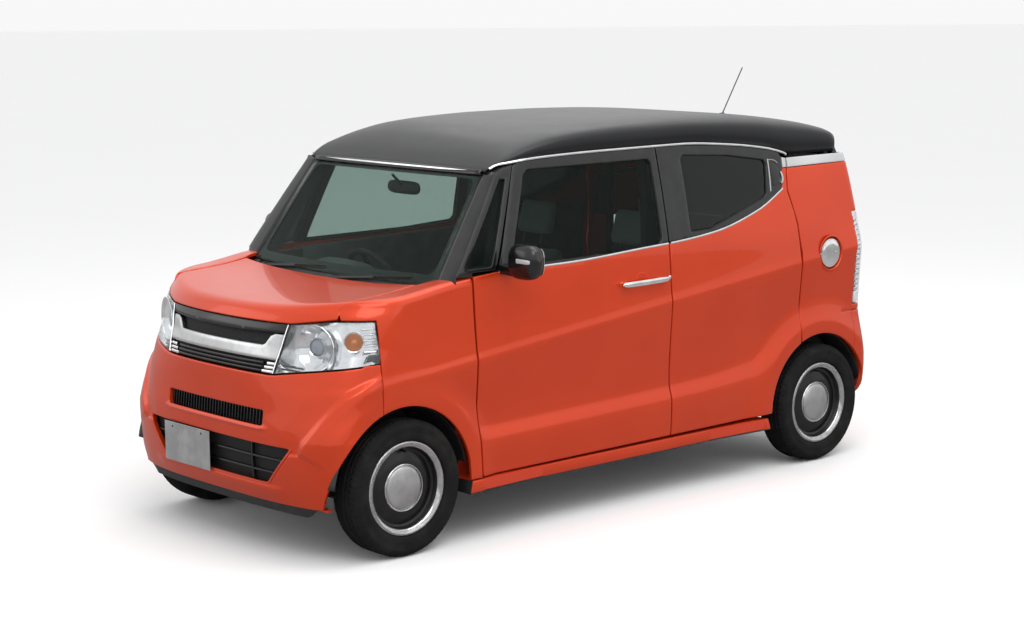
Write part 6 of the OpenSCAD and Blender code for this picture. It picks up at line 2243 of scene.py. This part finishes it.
@dataclass
class Wheels:
    """Four tyres on black steel wheels with bright rings and plain domed caps."""

    finishes: Finishes
    track_half: float = 652.5
    radius: float = 278.5
    width: float = 155
    blocks: int = 70

    def build(self) -> None:
        """Builds the four wheels."""
        for side, word in SIDES:
            for end, y in (("front", FORM.front_axle), ("rear", FORM.rear_axle)):
                self._tyre(side, f"{word}_{end}", y)
                self._wheel(side, f"{word}_{end}", y)

    def _tyre(self, side: int, word: str, y: float) -> None:
        """Builds a tyre with tread blocks and sidewall rings."""
        r, w = self.radius, self.width / 2
        wall = [(179, -53), (192, -57), (194, -66), (200, -72), (206, -74.5), (214, -75.2), (217, -76.2),
                (220, -75.6), (236, w * -0.995), (246, -w + 0.3), (249, -w), (252, -w + 0.8), (r - 16, -w + 6),
                (r - 12, -w + 9), (r - 6, -w + 16), (r - 1.5, -w + 25)]
        tread = []
        for x in np.arange(-48, 49, 4.0):
            tread.append((r - 0.6 * abs(x / 48) ** 2, x))
        profile = wall + tread + [(a, -b) for a, b in reversed(wall)]
        count = self.blocks * 5
        angle = np.linspace(0, 2 * math.pi, count, endpoint=False)
        rows_ = []
        for pr, px in profile:
            groove = np.zeros(count)
            if abs(px) < 49 and pr > r - 3:
                if min(abs(abs(px) - 14), abs(abs(px) - 38)) < 2.1:
                    groove += 6.5
                elif abs(px) > 14:
                    shift = int(abs(px) // 14)
                    groove[(np.arange(count) + shift * 2) % 5 == 0] += 5.0
            elif r - 14 < pr < r - 1:
                groove[(np.arange(count) + 4) % 5 == 0] += 3.0
            q = pr - groove
            rows_.append(np.stack([np.full(count, px), q * np.cos(angle), q * np.sin(angle)], axis=1))
        maker = MeshMaker()
        maker.grid(np.array(rows_) + (self.track_half, y, r), wrap_u=True, wrap_v=True)
        body = f"{word}_wheel"
        keep(maker.build(f"{word}_tyre_rubber", self.finishes.tyre, side, sharp=50), body, [f"{word}_tyre"])

    def _wheel(self, side: int, word: str, y: float) -> None:
        """Builds a steel wheel with its rings and cap."""
        f = self.finishes
        body = f"{word}_wheel"
        centre = (self.track_half, y, self.radius)
        maker = MeshMaker()
        maker.lathe([(188, -64), (190, -61), (180, -56), (178, -50), (178, 48), (182, 54), (189, 58), (189, 62),
                     (180, 62), (172, 57), (165, 46), (160, 34), (150, 29), (136, 33), (120, 38), (104, 40), (104, 28),
                     (130, 24), (152, 20), (164, 16), (168, 8), (170, 0), (168, -40), (174, -56), (180, -62),
                     (188, -64)], centre, count=96)
        maker.lathe([(104, 28), (104, 40), (98, 41), (31, 41), (30.2, 40), (30.2, 28), (104, 28)], centre, count=64)
        maker.lathe([(0.5, 74), (3, 74), (3.6, 70), (4.4, 66), (4.4, 44), (0.5, 44)],
                    (centre[0] - 14, y, centre[2] + 151), count=16)
        keep(maker.build(f"{word}_steel_wheel", f.wheel), body, [f"{word}_rim"])
        maker = MeshMaker()
        maker.lathe([(191.5, 60), (191.8, 63.5), (189, 66), (184, 66.6), (178, 64.6), (171, 61), (166.5, 57.5),
                     (165, 54), (166.5, 52.5), (172, 56.5), (180, 60.5), (188, 62), (191.5, 60)], centre, count=120)
        maker.lathe([(97.5, 40.5), (98.5, 43), (97, 46), (94.5, 47.2), (92, 46), (91, 43), (91, 40.5), (97.5, 40.5)],
                    centre, count=96)
        keep(maker.build(f"{word}_trim_rings", f.chrome), body)
        maker = MeshMaker()
        maker.lathe([(0.4, 55), (20, 54.6), (38, 53.6), (56, 51.8), (72, 49.4), (82, 47), (86, 45), (87, 42),
                     (90.8, 41), (90.8, 37), (0.4, 37)], centre, count=96)
        keep(maker.build(f"{word}_centre_cap", f.cap, sharp=50), body)


# ---------------------------------------------------------------- cabin


@dataclass
class Cabin:
    """Seats, dashboard, steering wheel, carpets and small fittings seen through the glass."""

    finishes: Finishes
    seat_x: float = 320
    voxel: float = 0.010
    swell: float = 0.024

    def build(self) -> None:
        """Builds the cabin."""
        self._front_seats()
        self._bench()
        self._dashboard()
        self._steering_wheel()
        self._floor()
        self._mirror()

    def _pad(self, name: str, size: Point, turn: Matrix, channels: Sequence[tuple[int, float]], slot: str = "fabric",
             scoop: float = 0.0) -> bpy.types.Object:
        """Makes one cushion by inflating a slightly smaller block.

        Args:
            name: The piece's name.
            size: Its whole width, depth and height in millimetres.
            turn: Where it goes, from its own middle.
            channels: Sewn channels as (axis, place), across the face that looks up or forward.
            slot: Not used.
            scoop: How much lower its middle sits.

        Returns:
            The cushion.
        """
        half = np.array(size, float) / 2
        maker = MeshMaker()
        small = half - (7, 7, 9)
        bevel = float(min(small) * 0.55)
        maker.box(tuple(-small), tuple(small), bevel)
        piece = maker.build(name, self.finishes.cloth, sharp=180)
        remesh = piece.modifiers.new("voxels", "REMESH")
        remesh.mode, remesh.voxel_size = "VOXEL", self.voxel
        self._apply(piece)
        self._inflate(piece)
        mesh = piece.data
        points = np.empty(len(mesh.vertices) * 3)
        mesh.vertices.foreach_get("co", points)
        points = points.reshape(-1, 3) / MM
        top = np.clip(points[:, 2] / half[2], -1, 1)
        rel = points / half
        for axis, place in channels:
            gap = np.abs(points[:, axis] - place)
            points[:, 2] -= 7 * np.exp(-((gap / 9.0) ** 2)) * np.clip(top * 3, 0, 1)
        points[:, 2] -= scoop * np.clip(1 - rel[:, 0] ** 2, 0, 1) * np.clip(1 - rel[:, 1] ** 2, 0, 1) * (top > 0)
        limit = half - 0.5
        points = np.clip(points, -limit, limit)
        mesh.vertices.foreach_set("co", (points * MM).ravel())
        mesh.update()
        subdivide = piece.modifiers.new("smooth", "SUBSURF")
        subdivide.levels = subdivide.render_levels = 1
        self._apply(piece)
        piece.data.transform(turn)
        piece.data.polygons.foreach_set("use_smooth", [True] * len(piece.data.polygons))
        piece.data.update()
        return piece

    def _apply(self, piece: bpy.types.Object) -> None:
        """Applies a piece's modifiers."""
        graph = bpy.context.evaluated_depsgraph_get()
        mesh = bpy.data.meshes.new_from_object(piece.evaluated_get(graph), depsgraph=graph)
        piece.modifiers.clear()
        old = piece.data
        piece.data = mesh
        bpy.data.meshes.remove(old)
        if not mesh.materials:
            mesh.materials.append(self.finishes.cloth)

    def _inflate(self, piece: bpy.types.Object) -> None:
        """Fills a cushion with air by a short cloth simulation, with a cap on how far it swells."""
        before = np.array([tuple(v.co) for v in piece.data.vertices])
        cloth = piece.modifiers.new("air", "CLOTH")
        settings = cloth.settings
        settings.use_pressure = True
        settings.uniform_pressure_force = 4
        settings.effector_weights.gravity = 0
        settings.quality = 4
        cloth.point_cache.frame_start, cloth.point_cache.frame_end = 1, 20
        scene = bpy.context.scene
        for number in range(1, 21):
            scene.frame_set(number)
        self._apply(piece)
        scene.frame_set(1)
        after = np.array([tuple(v.co) for v in piece.data.vertices])
        move = after - before
        size = np.linalg.norm(move, axis=1, keepdims=True)
        after = before + move * np.minimum(1, self.swell / np.maximum(size, 1e-9))
        piece.data.vertices.foreach_set("co", after.ravel())
        piece.data.update()

    def _twin(self, piece: bpy.types.Object, name: str, shift: float) -> bpy.types.Object:
        """Copies a cushion across the car."""
        mesh = piece.data.copy()
        mesh.transform(Matrix.Translation((shift * MM, 0, 0)))
        twin = bpy.data.objects.new(name, mesh)
        bpy.context.scene.collection.objects.link(twin)
        return twin

    def _front_seats(self) -> None:
        """Builds the two front seats."""
        x = self.seat_x
        base = Matrix.Translation(Vector((x, -80, 462)) * MM)
        cushion = self._pad("left_seat_cushion", (474, 456, 186), base, [(0, -150), (0, 150), (1, 40)], scoop=14)
        lean = Matrix.Translation(Vector((x, 215, 470)) * MM) @ Matrix.Rotation(math.radians(-16), 4, "X")
        face = Matrix.Rotation(math.radians(90), 4, "X")
        back = self._pad("left_seat_back", (456, 590, 106), lean @ Matrix.Translation((0, 0, 0.300)) @ face,
                         [(0, -140), (0, 140), (1, -60), (1, 120)], scoop=10)
        head = self._pad("left_headrest", (236, 170, 76), lean @ Matrix.Translation((0, 0, 0.712)) @ face, [], scoop=4)
        for piece, word in ((cushion, "seat_cushion"), (back, "seat_back"), (head, "headrest")):
            twin = self._twin(piece, f"right_{word}", -2 * x)
            keep(piece, "body", ["front_seats"] if word == "seat_cushion" else ())
            keep(twin, "body")
        maker = MeshMaker()
        maker.box((x - 176, -246, 232), (x + 176, 146, 300), 10)
        maker.box((x - 190, -260, 300), (x + 190, 160, 366), 18)
        maker.box((x - 150, 108, 372), (x + 150, 214, 470), 14)
        for dx in (-60, 60):
            a = lean @ Vector(((dx) * MM, 0, 0.585))
            b = lean @ Vector(((dx) * MM, 0, 0.665))
            maker.rod(tuple(c / MM for c in a), tuple(c / MM for c in b), 6)
        maker.mirror()
        keep(maker.build("seat_frames", self.finishes.dash), "body")

    def _bench(self) -> None:
        """Builds the rear bench."""
        base = Matrix.Translation(Vector((0, 706, 462)) * MM)
        pads = [(self._pad("rear_cushion", (1070, 446, 190), base, [(0, 0), (0, -270), (0, 270)], scoop=8),
                 ["rear_bench"])]
        lean = Matrix.Translation(Vector((0, 1010, 470)) * MM) @ Matrix.Rotation(math.radians(-14), 4, "X")
        face = Matrix.Rotation(math.radians(90), 4, "X")
        pads.append((self._pad("rear_back", (1066, 586, 106), lean @ Matrix.Translation((0, 0, 0.296)) @ face,
                               [(0, 0), (1, 80)], scoop=8), ()))
        head = self._pad("left_rear_headrest", (226, 150, 76),
                         lean @ Matrix.Translation((0.290, 0, 0.676)) @ face, [], scoop=4)
        twin = self._twin(head, "right_rear_headrest", -580)
        for piece, nodes in pads + [(head, ()), (twin, ())]:
            keep(piece, "body", nodes)
        maker = MeshMaker()
        maker.box((-536, 564, 232), (536, 856, 362), 12)
        maker.box((-496, 890, 404), (496, 1006, 470), 12)
        for dx in (-350, -230, 230, 350):
            a, b = lean @ Vector((dx * MM, 0, 0.575)), lean @ Vector((dx * MM, 0, 0.645))
            maker.rod(tuple(c / MM for c in a), tuple(c / MM for c in b), 6)
        keep(maker.build("bench_frame", self.finishes.dash), "body")

    def _dashboard(self) -> None:
        """Builds the dashboard with its hood over the dials, vents and column shroud."""
        f = self.finishes
        profile = [(-904, 700), (-904, 1002), (-860, 1009), (-760, 1009), (-700, 1000), (-672, 980), (-663, 950),
                   (-668, 900), (-700, 870), (-706, 800), (-690, 700), (-720, 645), (-880, 645)]
        xs = np.concatenate([[-554, -553, -548, -540], steps(-520, 520, 40), [540, 548, 553, 554]])
        middle = np.array([-790.0, 830.0])
        rows_ = []
        for x in xs:
            pull = {554: 0.9, 553: 0.95, 548: 0.985, 540: 1.0}.get(int(abs(x)), 1.0)
            p = middle + (rounded(profile, 16, 4) - middle) * pull
            rows_.append(np.stack([np.full(len(p), x), p[:, 0], p[:, 1]], axis=1))
        maker = MeshMaker()
        ids = maker.grid(np.array(rows_), wrap_v=True)
        maker.cap(ids[0])
        maker.cap(ids[-1])
        rows_ = []
        for t in steps(-1, 1, 20):
            swell = (1 - abs(t) ** 4) ** 0.5
            x = -330 + 175 * t
            rows_.append([(x, -860, 990), (x, -850, 1000 + 50 * swell), (x, -760, 1004 + 58 * swell),
                          (x, -700, 1000 + 44 * swell), (x, -704, 990)])
        maker.grid(np.array(rows_))
        maker.rod((-330, -733.4, 838), (-330, -620, 898), 31)
        keep(maker.build("dashboard_moulding", f.dash), "body", ["dashboard"])
        maker = MeshMaker()
        for x0, x1, z0, z1 in ((-70, 70, 800, 960), (-500, -420, 900, 960), (420, 500, 900, 960)):
            maker.box((x0, -672, z0), (x1, -657.5 if z0 > 850 else -664, z1), 6)
        keep(maker.build("dashboard_panels", f.gloss), "body")

    def _steering_wheel(self) -> None:
        """Builds the steering wheel: grip, hub and three spokes."""
        turn = Matrix.Translation((-330, -560, 930)) @ Matrix.Rotation(math.radians(-62), 4, "X")
        maker = MeshMaker()
        grip = [(171 + 13.6 * math.cos(a), 13.6 * math.sin(a)) for a in np.linspace(0, 2 * math.pi, 17)]
        maker.lathe(grip, (0, 0, 0), "z", 72)
        maker.lathe([(0.5, 14), (30, 13), (50, 8), (57, -4), (56, -28), (14, -29), (12.4, -28), (12.4, 2), (0.5, 2)],
                    (0, 0, 0), "z", 48)
        for angle in (0, 180, 270):
            c, s = math.cos(math.radians(angle)), math.sin(math.radians(angle))
            path = [(r * c, r * s, -3 + 4 * (1 - r / 165)) for r in steps(46, 164, 8)]
            maker.sweep(path, [(-4, -16), (3, -14), (5, 0), (3, 14), (-4, 16)], (0, 0, 1))
        maker.move(turn)
        keep(maker.build("steering_wheel_grip", self.finishes.grip), "steering_wheel", ["steering_wheel"])

    def _floor(self) -> None:
        """Builds the carpets and the luggage floor."""
        maker = MeshMaker()
        maker.box((-628, -900, 230.5), (628, 880, 236), 2)
        maker.box((-544, 1075, 350.5), (544, 1538, 357), 3)
        maker.box((-600, -900, 236), (600, -880, 560), 6)
        keep(maker.build("carpets", self.finishes.carpet), "body")
        maker = MeshMaker()
        for x in (-320, 320):
            maker.box((x - 200, -760, 236), (x + 200, -340, 242), 3)
        keep(maker.build("floor_mats", self.finishes.carpet), "body")

    def _mirror(self) -> None:
        """Builds the inner mirror and the sun visors."""
        maker = MeshMaker()
        rows_ = []
        for t in steps(-1, 1, 24):
            k = (1 - abs(t) ** 6) ** 0.5
            rows_.append([(112 * t, -664 + 12 * math.cos(q) * k, 1393 + 29 * math.sin(q) * k)
                          for q in np.linspace(0, 2 * math.pi, 20, endpoint=False)])
        maker.grid(np.array(rows_), wrap_v=True)
        maker.rod((0, -672, 1400), (0, -726, 1452), 6)
        keep(maker.build("inner_mirror", self.finishes.trim, sharp=60), "body")
        maker = MeshMaker()
        for x in (-330, 330):
            maker.box((x - 180, -668, 1480), (x + 180, -520, 1494), 6)
        keep(maker.build("sun_visors", self.finishes.lining), "body")


# ---------------------------------------------------------------- underbody


@dataclass
class Underbody:
    """Exhaust, tank and sump as pieces, and the finishes of the structure that stays as it is."""

    finishes: Finishes

    def build(self) -> None:
        """Builds the underside."""
        self._exhaust()
        self._tank()
        self._dress()

    def _exhaust(self) -> None:
        """Builds the exhaust pipe, silencer and tail pipe."""
        f = self.finishes
        knots = np.array([(-322, -1080, 240), (-400, -960, 180), (-470, -860, 180), (-470, 0, 180), (-470, 1000, 180),
                          (-452, 1240, 205), (-440, 1340, 215)], float)
        ts = steps(0, 6, 90)
        path = np.stack([smooth_curve(ts, range(7), knots[:, k]) for k in range(3)], axis=1)
        circle = [(21 * math.cos(a), 21 * math.sin(a)) for a in np.linspace(0, 2 * math.pi, 20, endpoint=False)]
        maker = MeshMaker()
        maker.sweep(path, circle, (0, 0, 1))
        rows_ = []
        for x, k in ((-495, 0.9), (-492, 0.97), (-484, 1), (-300, 1), (-296, 1.012), (-290, 1), (-100, 1),
                     (-96, 1.012), (-90, 1), (94, 1), (102, 0.97), (105, 0.9)):
            k = min(k, 1.0) if k > 1 else k
            rows_.append([(x, 1430 + 99.5 * k * math.copysign(abs(math.cos(a)) ** 0.6, math.cos(a)),
                           227.5 + 62 * k * math.copysign(abs(math.sin(a)) ** 0.6, math.sin(a)))
                          for a in np.linspace(0, 2 * math.pi, 48, endpoint=False)])
        ids = maker.grid(np.array(rows_), wrap_v=True)
        maker.cap(ids[0])
        maker.cap(ids[-1])
        maker.lathe([(17, 0), (20, 0), (20, 138), (19, 140), (17, 138), (17, 0)], (-430, 1520, 204), "y", 32)
        for x in (-425, 55):
            maker.box((x - 14, 1420, 285), (x + 14, 1440, 329.4), 3)
        keep(maker.build("exhaust_pipes", f.exhaust), "body", ["exhaust"])

    def _tank(self) -> None:
        """Builds the fuel tank with its straps, and a ribbed sump below the engine."""
        maker = MeshMaker()
        maker.box((-419, -249, 150.5), (419, 419, 209), 20)
        for x in (-250, 0, 250):
            maker.box((x - 18, -248, 150), (x + 18, 418, 153), 1)
        keep(maker.build("fuel_tank_shell", self.finishes.steel), "body", ["fuel_tank"])
        maker = MeshMaker()
        maker.box((-200, -1400, 190), (230, -1090, 216), 12)
        for y in np.arange(-1380, -1100, 34.0):
            maker.box((-190, y, 186), (220, y + 8, 194), 2)
        keep(maker.build("engine_sump", self.finishes.cast), "body")

    def _dress(self) -> None:
        """Gives the structure that stays visible its finishes."""
        f = self.finishes
        looks = {"body_shell": f.shell, "hinges": f.steel, "left_knuckle": f.cast, "right_knuckle": f.cast,
                 "front_subframe": f.steel, "rear_axle": f.steel, "engine": f.cast}
        for name, finish in looks.items():
            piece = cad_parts[name]
            piece.data.materials.clear() if not piece.material_slots else None
            if not piece.material_slots:
                piece.data.materials.append(finish)
            for slot in piece.material_slots:
                slot.link = "OBJECT"
                slot.material = finish
            LOG.info("%s dressed", name)


def main() -> None:
    """Builds the whole car and reports each piece."""
    logging.basicConfig(level=logging.INFO, format="%(name)s: %(message)s")
    finishes = Finishes()
    Studio().build()
    for part in (Doors, SidePanels, Greenhouse, FrontEnd, RearEnd, Wheels, Cabin, Underbody):
        part(finishes).build()


if __name__ == "__main__":
    main()
